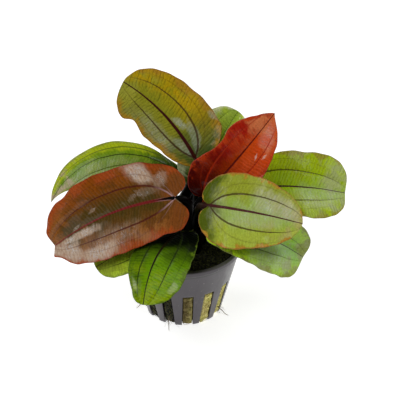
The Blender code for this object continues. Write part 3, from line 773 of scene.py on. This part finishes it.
def bladeRelief(row, across, gaps, along, aside, seed):
    # height over the smooth blade: a groove depth * exp(-(distance / width)^2) along each main vein, with
    # soft waves and puckers; all of it is calm at the margin, the stalk and the tip
    (ribDepth, ribWidth), (sideDepth, sideWidth) = leafShared["grooves"]
    grooves = ribDepth * np.exp(-((gaps[..., 0] / ribWidth) ** 2))
    grooves = grooves + sideDepth * np.exp(-((gaps[..., 1] / sideWidth) ** 2))
    (softHeight, softSize), (puckerHeight, puckerSize) = leafShared["unevenness"]
    stalkEnd, tipEnd, marginEnd = leafShared["calm"]
    calm = smoothStep(0.0, stalkEnd, row) * smoothStep(1.0, tipEnd, row)
    calm = calm * smoothStep(1.0, marginEnd, np.abs(across))
    soft = softHeight * ripples(along, aside, softSize, seed)
    return (soft + puckerHeight * ripples(along, aside * 0.5, puckerSize, seed + 1) - grooves) * calm


def stalkPath(leaf, path):
    # a cubic Hermite curve from the crown to the blade's base, then on under the midrib, thinning to a point
    shared = leafShared
    angle = math.radians(leaf["fromAngle"])
    outward = turned(1.0, angle, 0.0)
    onTop = leaf["fromHeight"] > crownLook["top"] - 1.0
    away = shared["topSpread"] if onTop else crownLook["radius"] + shared["gap"] + 1.1 * leaf["stalk"]
    start = np.array([*crownLook["centre"], leaf["fromHeight"]]) + outward * away
    leaving = unit(outward * (shared["lean"][0] if onTop else shared["lean"][1]) + upward)
    sink = leaf["stalk"] + shared["keelSink"]
    end = path["points"][0] - path["up"][0] * sink - path["forward"][0] * leaf["stalk"]
    pull = leaf["arch"] * np.linalg.norm(end - start)
    free = np.linspace(0.0, 1.0, shared["stalkSteps"])[:, None]
    stalk = (
        (2 * free**3 - 3 * free**2 + 1) * start
        + (free**3 - 2 * free**2 + free) * leaving * pull
        + (-2 * free**3 + 3 * free**2) * end
        + (free**3 - free**2) * path["forward"][0] * pull
    )
    stalk = stalk + path["up"][0] * shared["keelRise"] * smoothStep(0.7, 1.0, free)
    radius = leaf["stalk"] * (1.0 + shared["footSwell"] * (1.0 - np.minimum(free[:, 0] / 0.3, 1.0)))
    keelStart, keelEnd = shared["keelReach"]
    where = np.linspace(keelStart, keelEnd, shared["keelSteps"])
    thin = leaf["stalk"] + (shared["keelTip"] - leaf["stalk"]) * (where / keelEnd) ** 0.7
    sunk = thin + shared["keelSink"] - shared["keelRise"] * smoothStep(0.16, 0.04, where)
    keel = readPath(path, "points", where) - readPath(path, "up", where) * sunk[:, None]
    return np.vstack([stalk, keel]), np.concatenate([radius, thin])


def bladePiece(leaf, path, seed):
    # upper and lower faces on one grid, which meet along the whole margin; both end rows are one point;
    # thickness * sqrt((1 - |across|^margin) * (1 - (1 - row)^stalk) * (1 - row^tip))
    rows, columns = leafShared["rows"], leafShared["columns"]
    evenly = np.linspace(0.0, 1.0, rows) ** leafShared["crowding"]
    row, across = np.meshgrid(evenly, np.linspace(-1.0, 1.0, columns), indexing="ij")
    along, aside = flatBlade(leaf, row, across)
    share = along / leaf["length"]
    veins = [veinGap(leaf, share, aside, reach) for reach in leafShared["veinReach"]]
    gaps = np.stack([aside, *veins], axis=-1)
    points = bentBlade(leaf, path, along, aside)
    normal = unit(np.cross(np.gradient(points, axis=1), np.gradient(points, axis=0)))
    relief = bladeRelief(row, across, gaps, along, aside, seed)
    atMargin, atStalk, atTip = leafShared["edgePowers"]
    thin = (1.0 - np.abs(across) ** atMargin) * (1.0 - (1.0 - row) ** atStalk) * (1.0 - row**atTip)
    thickness = leafShared["thickness"] * np.sqrt(np.clip(thin, 0.0, 1.0))
    upper = points + normal * relief[..., None]
    lower = points + normal * (relief - thickness)[..., None]
    upper[[0, -1]] = points[[0, -1]]
    flat = np.stack([along, aside, along - leafShared["crossSlant"] * np.abs(aside)], axis=-1)
    place = np.stack([share, across, np.ones_like(row)], axis=-1)

    count = (rows - 2) * columns
    top = np.arange(count).reshape(rows - 2, columns)
    below = top.copy()
    below[:, 1:-1] = count + 2 + np.arange((rows - 2) * (columns - 2)).reshape(rows - 2, columns - 2)

    def gather(onTop, underneath):
        # the values at the upper face, the two ends and the lower face without its margin
        ends = onTop[[0, -1], (columns - 1) // 2]
        return np.vstack([onTop[1:-1].reshape(-1, 3), ends, underneath[1:-1, 1:-1].reshape(-1, 3)])

    faces = [gridFaces(top), gridFaces(below)[:, ::-1]]
    faces += [fanFaces(count + end, face[-end]) for end in (0, 1) for face in (top, below)]
    layers = {
        "bladePlace": gather(place, place * np.array([1.0, 1.0, 0.0])),
        "bladeFlat": gather(flat, flat),
        "veinGaps": gather(gaps, gaps),
    }
    return (gather(upper, lower), faces), layers


def bladeFinish(name, leaf):
    # colours change from heart to edge and from foot to tip, with mottling; cross veins, painted highlights
    # (pale sheen patches and glint threads) and main veins are laid over them, and the underside is mixed
    # with its own colour
    finish, tree, sockets = newFinish(name + "Blade", {
        "Coat Weight": leaf["coat"], "Coat Roughness": 0.06, "Specular IOR Level": 0.06,
    })
    place, flat, gaps = (readAttribute(tree, key) for key in ("bladePlace", "bladeFlat", "veinGaps"))
    row, across, face = parts(place)
    share = calc("ABSOLUTE", across)
    mottle = useGroup(mottleGroup, {"Vector": flat, "Scale": 0.13})
    veins = useGroup(veinGroup, {"Gaps": gaps, "Flat": flat, "Place": place, "Rib Width": leaf["ribWidth"]})
    drift = calc("MULTIPLY_ADD", mottle["Clouds"], 0.3, -0.15)  # the borders wander with the clouds
    shareDrift, rowDrift = calc("ADD", share, drift), calc("ADD", row, drift)
    footAt = calc("MULTIPLY_ADD", drift, 0.35, row)
    colour = mixColour(fade(across, -0.12, 0.04), leaf["field"], leaf["left"])
    colour = paintOver(colour, leaf, {
        "blotch": ramp(mottle["Clouds"], 0.3, 0.9, 0.0, leaf["blotches"]),
        "heart": fade(shareDrift, 0.05, leaf["heartReach"]),
        "tipColour": ramp(rowDrift, 1.0 - leaf["tipReach"], 1.0),
        # painted shade in part: the base of most blades darkens towards the crown, where the crown and the
        # leaves above shadow it; the rest is the base's own tone
        "foot": fade(footAt, leaf["footStart"], leaf["footReach"]),
        "edge": ramp(shareDrift, leaf["edgeStart"], 1.02),
        "rim": ramp(share, 0.955, 0.985, 0.0, 0.55),
    })
    colour = mixColour(1.0, colour, calc("MULTIPLY_ADD", mottle["Grain"], 0.9, 0.55), "MULTIPLY")
    dark = mixColour(1.0, colour, bladeLook["crossTint"], "MULTIPLY")
    colour = mixColour(times(veins["Cross Veins"], leaf["crossStrength"]), colour, dark)
    # painted highlights: pale sheen patches and bright glint threads put into the base colour where the wet
    # blade would mirror a softbox
    sheenMask, glints = 0.0, 0.0
    for along, aside, reach, wide, slant, tear, strength in leaf["sheenPatches"]:
        patch = useGroup(sheenGroup, {
            "Place": place, "Flat": flat, "Centre": (along, aside, 0.0), "Size": (reach, wide, 1000.0),
            "Slant": slant, "Tear": tear,
        })
        sheenMask = calc("MAXIMUM", times(patch["Film"], strength), sheenMask)
        glints = calc("MAXIMUM", times(patch["Glints"], strength**0.5), glints)
    if leaf["sheenPatches"]:
        shown = times(sheenMask, ramp(veins["Relief"], 0.0, 0.5, 0.80, 1.0))
        colour = mixColour(shown, colour, leaf["sheenColour"])
        colour = mixColour(glints, colour, bladeLook["glint"])
    # near the base the veins can take a paler colour, partly their own tone and partly a painted highlight on
    # the midrib
    atFoot = fade(row, 0.02, 0.17)
    masks = {"sideVein": times(veins["Side Veins"], 0.85), "vein": veins["Midrib"]}
    tints = {key: mixColour(atFoot, leaf[key], leaf.get("veinFootAndHighlight", leaf[key])) for key in masks}
    colour = paintOver(colour, tints, masks)
    under = mixColour(0.5, colour, bladeLook["underside"])
    feed(sockets["Base Color"], mixColour(fade(face, 0.4, 0.6), colour, under))
    feed(sockets["Roughness"], calc("MULTIPLY_ADD", mottle["Grain"], 0.3, 0.18))
    addBump(sockets, veins["Relief"], 0.0002, 0.8)
    return finish


def stalkFinish(name, leaf):
    # a stalk is nearly black at the crown, painted shade of the plant's middle, and takes the vein's colour
    # at the blade, with soft clouds and a fine grain
    finish, tree, sockets = newFinish(name + "Stalk", {
        "Roughness": 0.35, "Coat Weight": 0.03, "Coat Roughness": 0.12, "Specular IOR Level": 0.03,
    })
    run = parts(readAttribute(tree, "bladePlace"))[0]
    mottle = useGroup(mottleGroup, {"Vector": objectPlace(tree), "Scale": 500.0})
    colour = mixColour(ramp(run, 0.44, 0.62), bladeLook["stalkShade"], leaf["vein"])
    pale = mixColour(times(ramp(run, 0.3, 0.7), 0.12), colour, leaf["field"])
    feed(sockets["Base Color"], mixColour(times(mottle["Clouds"], 0.35), colour, pale))
    addBump(sockets, mottle["Grain"], 0.0002, 0.5)
    return finish


def makeLeaf(name, leaf, seed):
    # blade and stalk become one piece with a finish each
    path = midribPath(leaf)
    blade, layers = bladePiece(leaf, path, seed)
    centres, radii = stalkPath(leaf, path)
    *stalk, run = tube(centres, radii, path["right"][:1], leafShared["stalkSides"])
    none = np.zeros((len(run), 3))
    stalkLayers = {"bladePlace": np.stack([run, none[:, 0], np.full_like(run, -1.0)], axis=1)}
    piece = makePiece(
        name.replace("leaf_", "dressed_"),
        joined(blade, stalk),
        [bladeFinish(name, leaf), stalkFinish(name, leaf)],
        np.repeat([0, 1], [sum(len(block) for block in faces) for _, faces in (blade, stalk)]),
        {key: np.vstack([values, stalkLayers.get(key, none)]) for key, values in layers.items()},
    )
    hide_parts(name)
    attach(piece, "root")


for number, (leafName, leafLook) in enumerate(leaves.items()):
    makeLeaf(leafName, {**leafUsual, **leafLook}, 10 * number + 3)
print("leaves made")


# Pot

potLook = {
    "height": 36.5,
    "baseRadius": 18.0,
    "wallTop": 26.5,
    "lipRadius": 27.5,
    "lipHeight": 2.4,
    "lipRounds": (0.5, 0.3, 0.4),  # outer upper, outer lower and inner rounding of the lip
    "footRound": 0.8,
    "wall": 1.3,
    "floor": 1.6,
    "slots": 14,
    "slotWidth": 5.0,
    "slotTop": 20.0,
    "slotInner": 11.0,
    "firstSlot": -83.8,
    "slotCells": 6,
    "ribCells": 8,
    "stretches": (16, 10, 26, 5),  # rows of the lip, the plain wall, the slots and the middle of the floor
    "softEdge": 0.12,
    "colour": (0.036, 0.026, 0.036),
    "scuff": (0.12, 0.10, 0.115),
    "speck": (0.25, 0.24, 0.22),
    # line is a painted shadow under the lip's overhang, crest a painted highlight along the lip's top edge
    "line": (0.004, 0.003, 0.004),  # the dark line under the lip
    "crest": (0.16, 0.15, 0.16),
}
underLip = potLook["height"] - potLook["lipHeight"]


def wallRadius(height):
    # outside radius of the tapered wall
    return potLook["baseRadius"] + (potLook["wallTop"] - potLook["baseRadius"]) * (height / underLip)


def arc(centre, radius, start, end, count):
    # points on a circle's arc in the profile's plane
    angle = np.radians(np.linspace(start, end, count))
    return [(centre[0] + radius * math.cos(a), centre[1] + radius * math.sin(a)) for a in angle]


def profile(start, stretches):
    # evenly spaced points along each stretch of corners, without its last one, where the next stretch starts
    made = []
    for corners, count in zip(stretches, potLook["stretches"]):
        corners = np.array([start, *corners], dtype=float)
        run = runAlong(corners)
        where = np.linspace(0.0, run[-1], count + 1)[:-1]
        made.append(np.stack([np.interp(where, run, corners[:, axis]) for axis in range(2)], axis=1))
        start = tuple(corners[-1])
    return np.vstack(made)


def potProfiles():
    # (radius, height) of the pot's outside and inside, from the lip's crest to the axis
    look = potLook
    top, wall, base = look["height"], look["wall"], look["floor"]
    outer, lower, inner = look["lipRounds"]
    bend = look["footRound"]
    slotTop, slotInner = look["slotTop"], look["slotInner"]
    inTop = look["wallTop"] - wall + 0.3  # the lip's inside is a little wider than the wall's
    lipEdge = look["lipRadius"]
    crest = ((inTop + lipEdge) / 2.0, top)
    lip = arc((lipEdge - outer, top - outer), outer, 90, 0, 6)
    lip += arc((lipEdge - lower, underLip + lower), lower, 0, -90, 5)
    foot = arc((wallRadius(bend) - bend, bend), bend, 0, -90, 6)
    outside = profile(crest, [
        [*lip, (wallRadius(underLip), underLip)],
        [(wallRadius(slotTop), slotTop)],
        [(wallRadius(bend), bend), *foot[1:], (slotInner, 0.0)],
        [(0.0, 0.0)],
    ])
    inside = profile(crest, [
        arc((inTop + 0.6, top - inner), inner, 90, 180, 5) + [(inTop, underLip)],
        [(wallRadius(slotTop) - wall, slotTop)],
        [(wallRadius(base) - wall, base), (slotInner, base)],
        [(0.0, base)],
    ])
    return outside, inside


def potShape():
    # both profiles are turned round; columns follow the slots' edges, whose half angle is
    # asin(half width / radius); cells inside a slot are left out and walls join the two shells round them
    look = potLook
    profiles = potProfiles()
    rows = len(profiles[0])
    sector = 2.0 * np.pi / look["slots"]
    slotStep = np.linspace(-1.0, 1.0, look["slotCells"] + 1)[:-1]
    ribStep = np.linspace(0.0, 1.0, look["ribCells"] + 1)[:-1]
    columns = look["slots"] * (look["slotCells"] + look["ribCells"])
    starts = math.radians(look["firstSlot"]) + sector * np.arange(look["slots"])
    shells = []
    for line in profiles:
        held = np.maximum(line[:, 0], look["slotInner"])
        half = np.arcsin(np.clip(look["slotWidth"] / 2.0 / held, 0.0, 0.9))
        half = np.minimum(half, sector * 0.48)[:, None]
        one = np.concatenate([half * slotStep, half + (sector - 2.0 * half) * ribStep], axis=1)
        angle = (starts[None, :, None] + one[:, None, :]).reshape(rows, columns)
        shells.append(turned(line[:, :1], angle, line[:, 1:]))
    # outer grid, then inner grid without its crest row, each with one point on the axis
    outer = np.arange(rows * columns).reshape(rows, columns)
    inner = rows * columns + 1 + np.arange((rows - 1) * columns).reshape(rows - 1, columns)
    outerAxis, innerAxis = rows * columns, inner[-1, -1] + 1
    inner = np.vstack([outer[:1], inner])
    points = np.vstack([
        shells[0].reshape(-1, 3), [[0.0, 0.0, 0.0]], shells[1][1:].reshape(-1, 3), [[0.0, 0.0, look["floor"]]]
    ])
    openCells = np.tile(np.arange(look["slotCells"] + look["ribCells"]) < look["slotCells"], look["slots"])
    marks = np.cumsum(look["stretches"])
    kept = np.ones((rows - 1, columns), dtype=bool)
    kept[marks[1]:marks[2], openCells] = False
    outerCells, innerCells = (
        gridFaces(index, closed=True).reshape(rows - 1, columns, 4) for index in (outer, inner)
    )
    faces = [outerCells[kept], innerCells[kept][:, ::-1]]
    faces.append(fanFaces(outerAxis, outer[-1], closed=True))
    faces.append(fanFaces(innerAxis, inner[-1], closed=True)[:, ::-1])
    # the cells beside, above and below a kept one, and the corners of their common edge
    for axis, step, near, far in ((1, 1, 0, 3), (1, -1, 1, 2), (0, 1, 0, 1), (0, -1, 3, 2)):
        edge = kept & ~np.roll(kept, step, axis=axis)
        front, back = outerCells[edge], innerCells[edge]
        faces.append(np.stack([front[:, near], front[:, far], back[:, far], back[:, near]], axis=1))
    return points, faces


def potFinish():
    # dark grey plastic with upright scuffs and specks, a painted shadow line under the lip and a painted
    # highlight along its crest
    look = potLook
    finish, tree, sockets = newFinish("potPlastic", {"Coat Weight": 0.35, "Coat Roughness": 0.2})
    place = objectPlace(tree)
    mottle = useGroup(mottleGroup, {"Vector": place, "Scale": 120.0})
    wipes = noise(vectorCalc("MULTIPLY", place, (1.0, 1.0, 0.2)), 260.0, 4.0, 0.65)
    height = calc("DIVIDE", parts(place)[2], mm)
    # painted shadow just under the lip, and a painted highlight on the crest
    line = times(ramp(height, underLip - 2.2, underLip - 1.3), fade(height, underLip - 0.3, underLip))
    crest = ramp(height, look["height"] - 0.35, look["height"] - 0.1)
    feed(sockets["Base Color"], paintOver(look["colour"], look, {
        "scuff": times(ramp(wipes, 0.55, 0.8), 0.35),
        "speck": times(mottle["Specks"], 0.3),
        "line": times(line, 0.9),
        "crest": times(crest, 0.5),
    }))
    feed(sockets["Roughness"], ramp(wipes, 0.3, 0.75, 0.30, 0.52))
    addBump(sockets, noise(place, 2600.0, 2.0), 0.00004, 0.6)
    return finish


def makePot():
    # the pot's shape with all of its sharp edges softened
    pot = makePiece("dressed_pot", potShape(), [potFinish()])
    soften = pot.modifiers.new("softEdges", "BEVEL")
    soften.width = potLook["softEdge"] * mm
    soften.segments = 2
    soften.limit_method = "ANGLE"
    soften.angle_limit = math.radians(50.0)
    soften.harden_normals = False
    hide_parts("net_pot")
    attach(pot, "root")


makePot()
print("pot made")


# Growing medium

mediumLook = {
    "top": 29.0,
    "gap": 0.3,
    "swell": 0.45,  # how far behind the pot's face the wool stands in a slot
    "rows": 100,
    "slotColumns": 28,
    "fibres": 2600,
    "topFibres": 500,
    "steps": 9,
    "radius": 0.11,
    "fibreSizes": (0.6, 1.3),  # thinnest and thickest, as shares of the radius
    "fibreLengths": (3.0, 9.0),
    "topFibreLengths": (3.0, 8.0),
    "middleRadius": 19.0,
    "topSpread": 20.5,  # the top's fibres start within this radius and stay within the next
    "topReach": 21.5,
    "flatRadii": (14.0, 12.5),  # of the plug's level top and bottom
    "fibreRange": (2.6, 22.0),  # heights between which the side's fibres start
    "slotStart": (11.6, 12.4),  # radii between which the wool starts to swell into the floor's slots
    "lumps": ((0.22, 3.5), (0.15, 1.6), (0.3, 4.0)),  # height and size: large, small, on top
    "seed": 81,
    "wool": (0.52, 0.42, 0.11),
    "woolPale": (0.95, 0.84, 0.34),
    "woolGreen": (0.50, 0.49, 0.09),
    "brown": (0.115, 0.075, 0.022),
    # nearly black: laid on the left and, as painted shade of the pot's inside, over the top
    "dark": (0.0015, 0.0015, 0.001),
}


def mediumRadius(height):
    # the plug's outer radius, a little inside the pot's inner wall
    inset = potLook["wall"] + mediumLook["gap"] + 0.25
    return wallRadius(np.clip(height, 0.0, mediumLook["top"])) - inset


def inSlot(turn, radius, height):
    # 1 where a slot of the pot lies in front of the wool, 0 behind the pot's ribs, and less on the left side,
    # where the wool has shrunk
    sector = 2.0 * np.pi / potLook["slots"]
    fromSlot = turn - math.radians(potLook["firstSlot"])
    aside = (np.mod(fromSlot + sector / 2.0, sector) - sector / 2.0) * radius
    window = smoothStep(potLook["slotWidth"] / 2.0 - 0.15, potLook["slotWidth"] / 2.0 - 0.6, np.abs(aside))
    upper = smoothStep(potLook["slotTop"] - 0.2, potLook["slotTop"] - 1.2, height)
    filled = 0.78 + 0.22 * smoothStep(-0.3, 0.05, np.cos(turn))
    return window * upper * filled * smoothStep(*mediumLook["slotStart"], radius)


def mediumProfile(share, packed):
    # (radius, height) from the middle of the top, out, down the side and back to the middle underneath;
    # packed gives the way that the wool takes where it swells into a slot
    topFlat, lowFlat = mediumLook["flatRadii"]
    low = potLook["floor"] + mediumLook["gap"] + 0.1
    top = mediumLook["top"] - 0.4
    swell = mediumLook["swell"]
    slotTop = potLook["slotTop"]
    corners = np.array([
        (0.0, top), (topFlat, top), (mediumRadius(top) - 1.6, top - 0.5),
        (mediumRadius(top - 2.5), top - 2.5), (mediumRadius(slotTop), slotTop),
        (mediumRadius(low + 1.0), low + 1.0), (mediumRadius(low) - 0.5, low), (lowFlat, low), (0.0, low),
    ])
    run = runAlong(corners)
    if packed:
        corners[4, 0] = wallRadius(slotTop) - swell
        corners[5:8] = (wallRadius(1.2) - swell, 1.2), (wallRadius(0.4) - swell - 0.8, 0.4), (lowFlat, 0.4)
    return [np.interp(share * run[-1], run, corners[:, axis]) for axis in range(2)]


def woolFinish():
    # tan and yellow green wool, nearly black on the left, and nearly black on top as painted shade of the
    # pot's inside, fibre by fibre
    look = mediumLook
    finish, tree, sockets = newFinish("wetWoolShadedTop", {
        "Roughness": 0.8, "Coat Weight": 0.05, "Coat Roughness": 0.3, "Specular IOR Level": 0.25,
    })
    place = objectPlace(tree)
    x, _, z = parts(place)
    clouds = useGroup(mottleGroup, {"Vector": place, "Scale": 160.0})["Clouds"]
    fine = noise(place, 1500.0, 3.0)
    shift = calc("MULTIPLY_ADD", clouds, 0.004, -0.002)
    shifted = calc("ADD", x, shift)
    colour = mixColour(clouds, look["wool"], look["woolGreen"])
    colour = mixColour(ramp(fine, 0.35, 0.7), colour, look["woolPale"])
    colour = mixColour(ramp(shifted, 0.002, 0.0105, 0.9, 0.0), colour, look["brown"])
    left = fade(shifted, -0.0035, -0.001)
    # painted shade: above about 20 mm and over the top the wool goes nearly black, where the pot's inside is
    # in shade
    high = ramp(calc("ADD", z, shift), 0.0195, 0.0235)
    dark = mixColour(times(ramp(fine, 0.45, 0.75), 0.25), look["dark"], look["woolGreen"])
    feed(sockets["Base Color"], mixColour(calc("MAXIMUM", left, high), colour, dark))
    addBump(sockets, fine, 0.0003, 0.8)
    return finish


def woolPlug():
    # the profile turned round, swelling into the slots, with lumps on its side and its top
    rows, columns = mediumLook["rows"], mediumLook["slotColumns"] * potLook["slots"]
    share, turn = np.meshgrid(np.linspace(0.0, 1.0, rows), fullTurn(columns), indexing="ij")
    radius, height = mediumProfile(share, False)
    window = inSlot(turn, radius, height)
    outRadius, outHeight = mediumProfile(share, True)
    radius = radius + (outRadius - radius) * window
    height = height + (outHeight - height) * window
    (large, largeSize), (small, smallSize), (rough, roughSize) = mediumLook["lumps"]
    sideRun = turn * 20.0  # millimetres round the plug
    lump = large * ripples(height, sideRun, largeSize, 71)
    lump = lump + small * ripples(height * 1.5, sideRun, smallSize, 72)
    radius = np.maximum(radius + lump * smoothStep(0.0, 3.0, radius), 0.0)
    onTop = smoothStep(mediumLook["top"] - 3.0, mediumLook["top"] - 0.5, height)
    uneven = rough * ripples(radius * np.cos(turn), radius * np.sin(turn), roughSize, 73)
    return closedShell(turned(radius, turn, height + onTop * uneven))


def sideFibres(draw, step):
    # short curved ways along the plug's side, drawn outward with the wool in each slot
    count, steps = mediumLook["fibres"], mediumLook["steps"]
    lean = draw.normal(0.0, 1.0, (count, 1))
    length = draw.uniform(*mediumLook["fibreLengths"], (count, 1))
    heading = lean + draw.uniform(-1.0, 1.0, (count, 1)) * step
    climb = length * np.cumsum(np.cos(heading) / steps, axis=1) * 0.8
    rise = np.clip(draw.uniform(*mediumLook["fibreRange"], (count, 1)) + climb, 2.4, 27.0)
    swing = np.cumsum(np.sin(heading) / steps, axis=1) / mediumLook["middleRadius"]
    around = draw.uniform(0.0, 2 * np.pi, (count, 1)) + length * swing
    out = mediumRadius(rise) + draw.uniform(-0.15, 0.12, (count, 1)) + 0.12 * np.sin(step * 9.0 + lean * 4.0)
    window = inSlot(around, out, rise)
    out = out + (wallRadius(rise) - mediumLook["swell"] - mediumRadius(rise)) * window
    rise = rise - 1.5 * window * smoothStep(5.0, 2.4, rise)
    radius = mediumLook["radius"] * draw.uniform(*mediumLook["fibreSizes"], count)
    return strands(turned(out, around, rise), radius, turned(1.0, around, 0.0))


def topFibres(draw, step):
    # short curved ways over the plug's top, kept inside the pot
    count, steps = mediumLook["topFibres"], mediumLook["steps"]
    heading = draw.uniform(0, 2 * np.pi, (count, 1)) + draw.uniform(-1.5, 1.5, (count, 1)) * step
    length = draw.uniform(*mediumLook["topFibreLengths"], (count, 1))
    start = mediumLook["topSpread"] * np.sqrt(draw.uniform(0.0, 1.0, (count, 1)))
    bearing = draw.uniform(0, 2 * np.pi, (count, 1))
    x = start * np.cos(bearing) + length * np.cumsum(np.cos(heading) / steps, axis=1)
    y = start * np.sin(bearing) + length * np.cumsum(np.sin(heading) / steps, axis=1)
    inward = np.minimum(1.0, mediumLook["topReach"] / np.maximum(np.hypot(x, y), 0.01))
    z = mediumLook["top"] - 0.35 + 0.5 * np.sin(step * 3.1) * draw.uniform(0.0, 1.0, (count, 1))
    centres = np.stack([x * inward, y * inward, z], axis=-1)
    radius = mediumLook["radius"] * draw.uniform(*mediumLook["fibreSizes"], count)
    return strands(centres, radius, np.broadcast_to(upward, centres.shape))


def makeMedium():
    # the plug and the fibres that lie on it, as one piece
    draw = np.random.default_rng(mediumLook["seed"])
    step = np.linspace(0.0, 1.0, mediumLook["steps"])
    shape = joined(woolPlug(), sideFibres(draw, step), topFibres(draw, step))
    medium = makePiece("dressed_medium", shape, [woolFinish()])
    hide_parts("growing_medium")
    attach(medium, "root")


makeMedium()
print("growing medium made")


# Crown and roots

rootLook = {
    "radius": 0.35,
    "main": {
        # slot, height, how far out, how far aside
        "root_front": (13, 5.0, 5.0, 1.5),
        "root_left": (11, 6.5, 4.0, -2.0),
        "root_right": (2, 4.5, 5.5, 2.0),
    },
    "steps": 40,
    "sides": 8,
    "hairs": 9,
    "hairSteps": 12,
    "hairRadii": (0.03, 0.05),
    "seed": 200,
    "colour": (0.20, 0.14, 0.075),
    "pale": (0.22, 0.16, 0.09),
}


def makeCrown():
    # a knob turned round its own axis, with flutes where the leaf bases stand:
    # radius * (1 + fluteDepth * cos(flutes * turn + height))
    look = crownLook
    top, bottom = look["top"], look["bottom"]
    share, turn = np.meshgrid(np.linspace(0.0, 1.0, look["rows"]), fullTurn(look["columns"]), indexing="ij")
    corners = np.array([
        (0.0, 0.0, top), (0.2, 0.45, top - 0.5), (0.4, 0.8, top - 2.5), (0.6, 0.94, bottom + 4.0),
        (0.8, 0.9, bottom + 1.0), (0.9, 0.65, bottom + 0.05), (1.0, 0.0, bottom + 0.05),
    ])
    radius = look["radius"] * np.interp(share, corners[:, 0], corners[:, 1])
    height = np.interp(share, corners[:, 0], corners[:, 2])
    radius = radius * (1.0 + look["fluteDepth"] * np.cos(look["flutes"] * turn + height)) * look["trim"]
    shape = closedShell(turned(radius, turn, height) + np.array([*look["centre"], 0.0]))
    values = {"Roughness": 0.6, "Coat Weight": 0.1, "Coat Roughness": 0.2, "Specular IOR Level": 0.1}
    # the knob's nearly black colours are painted shade
    finish = mottledFinish("crownTissueInShade", values, 400.0, look["colour"], look["pale"], (0.0003, 0.8))
    crown = makePiece("dressed_crown", shape, [finish])
    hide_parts("crown")
    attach(crown, "root")


def rootWay(slot, height, out, aside):
    # out of a slot and down beside the pot: height falls as cos^1.5, and it turns aside with the square
    angle = math.radians(potLook["firstSlot"]) + 2.0 * math.pi * slot / potLook["slots"]
    outward, sideways = turned(1.0, angle, 0.0), np.array([-math.sin(angle), math.cos(angle), 0.0])
    share = np.linspace(0.0, 1.0, rootLook["steps"])[:, None]
    start = wallRadius(height) - potLook["wall"] + rootLook["radius"]
    fall = height * np.cos(share * math.pi / 2.0).clip(0.0, 1.0) ** 1.5 + 2.0 * rootLook["radius"]
    centres = outward * (start + out * share) + sideways * aside * share**2 + upward * fall
    return centres, share[:, 0], outward, sideways


def rootHairs(draw, height, out, outward, sideways):
    # fine hairs from the same slot: out evenly, aside with step^1.5 and a waver, and down with step^1.6
    count, step = rootLook["hairs"], np.linspace(0.0, 1.0, rootLook["hairSteps"])
    lift = draw.uniform(0.4, 1.5, (count, 1)) * height
    reach = out * draw.uniform(0.35, 1.0, (count, 1))
    spread = draw.normal(0.0, 1.6, (count, 1))
    beside = draw.uniform(-2.0, 2.0, (count, 1)) + spread * step**1.5
    beside = beside + 0.2 * np.sin(step * 12.0 + spread * 5.0)
    ahead = wallRadius(lift) - potLook["wall"] - 0.2 + reach * step
    fall = np.maximum(lift * (1.0 - step**1.6 * draw.uniform(0.3, 1.0, (count, 1))), 0.15)
    paths = outward * ahead[..., None] + sideways * beside[..., None] + upward * fall[..., None]
    radius = draw.uniform(*rootLook["hairRadii"], count)
    return strands(paths, radius, np.broadcast_to(sideways, paths.shape))


def makeRoots():
    # each root keeps its solid's way and bears fine side hairs near it
    values = {"Roughness": 0.5, "Coat Weight": 0.3, "Coat Roughness": 0.2}
    finish = mottledFinish("rootTissue", values, 300.0, rootLook["colour"], rootLook["pale"], (0.0002, 0.6))
    for number, (name, (slot, height, out, aside)) in enumerate(rootLook["main"].items()):
        draw = np.random.default_rng(rootLook["seed"] + number)
        centres, share, outward, sideways = rootWay(slot, height, out, aside)
        kink = 0.12 * np.sin(share * 11.0 + number) * np.sin(share * np.pi)
        radii = rootLook["radius"] * (0.8 - 0.45 * share)
        *main, _ = tube(centres + sideways * kink[:, None], radii, sideways[None, :], rootLook["sides"])
        shape = joined(main, rootHairs(draw, height, out, outward, sideways))
        root = makePiece(name.replace("root_", "dressed_root_"), shape, [finish])
        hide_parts(name)
        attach(root, "root")


makeCrown()
makeRoots()
print("crown and roots made")
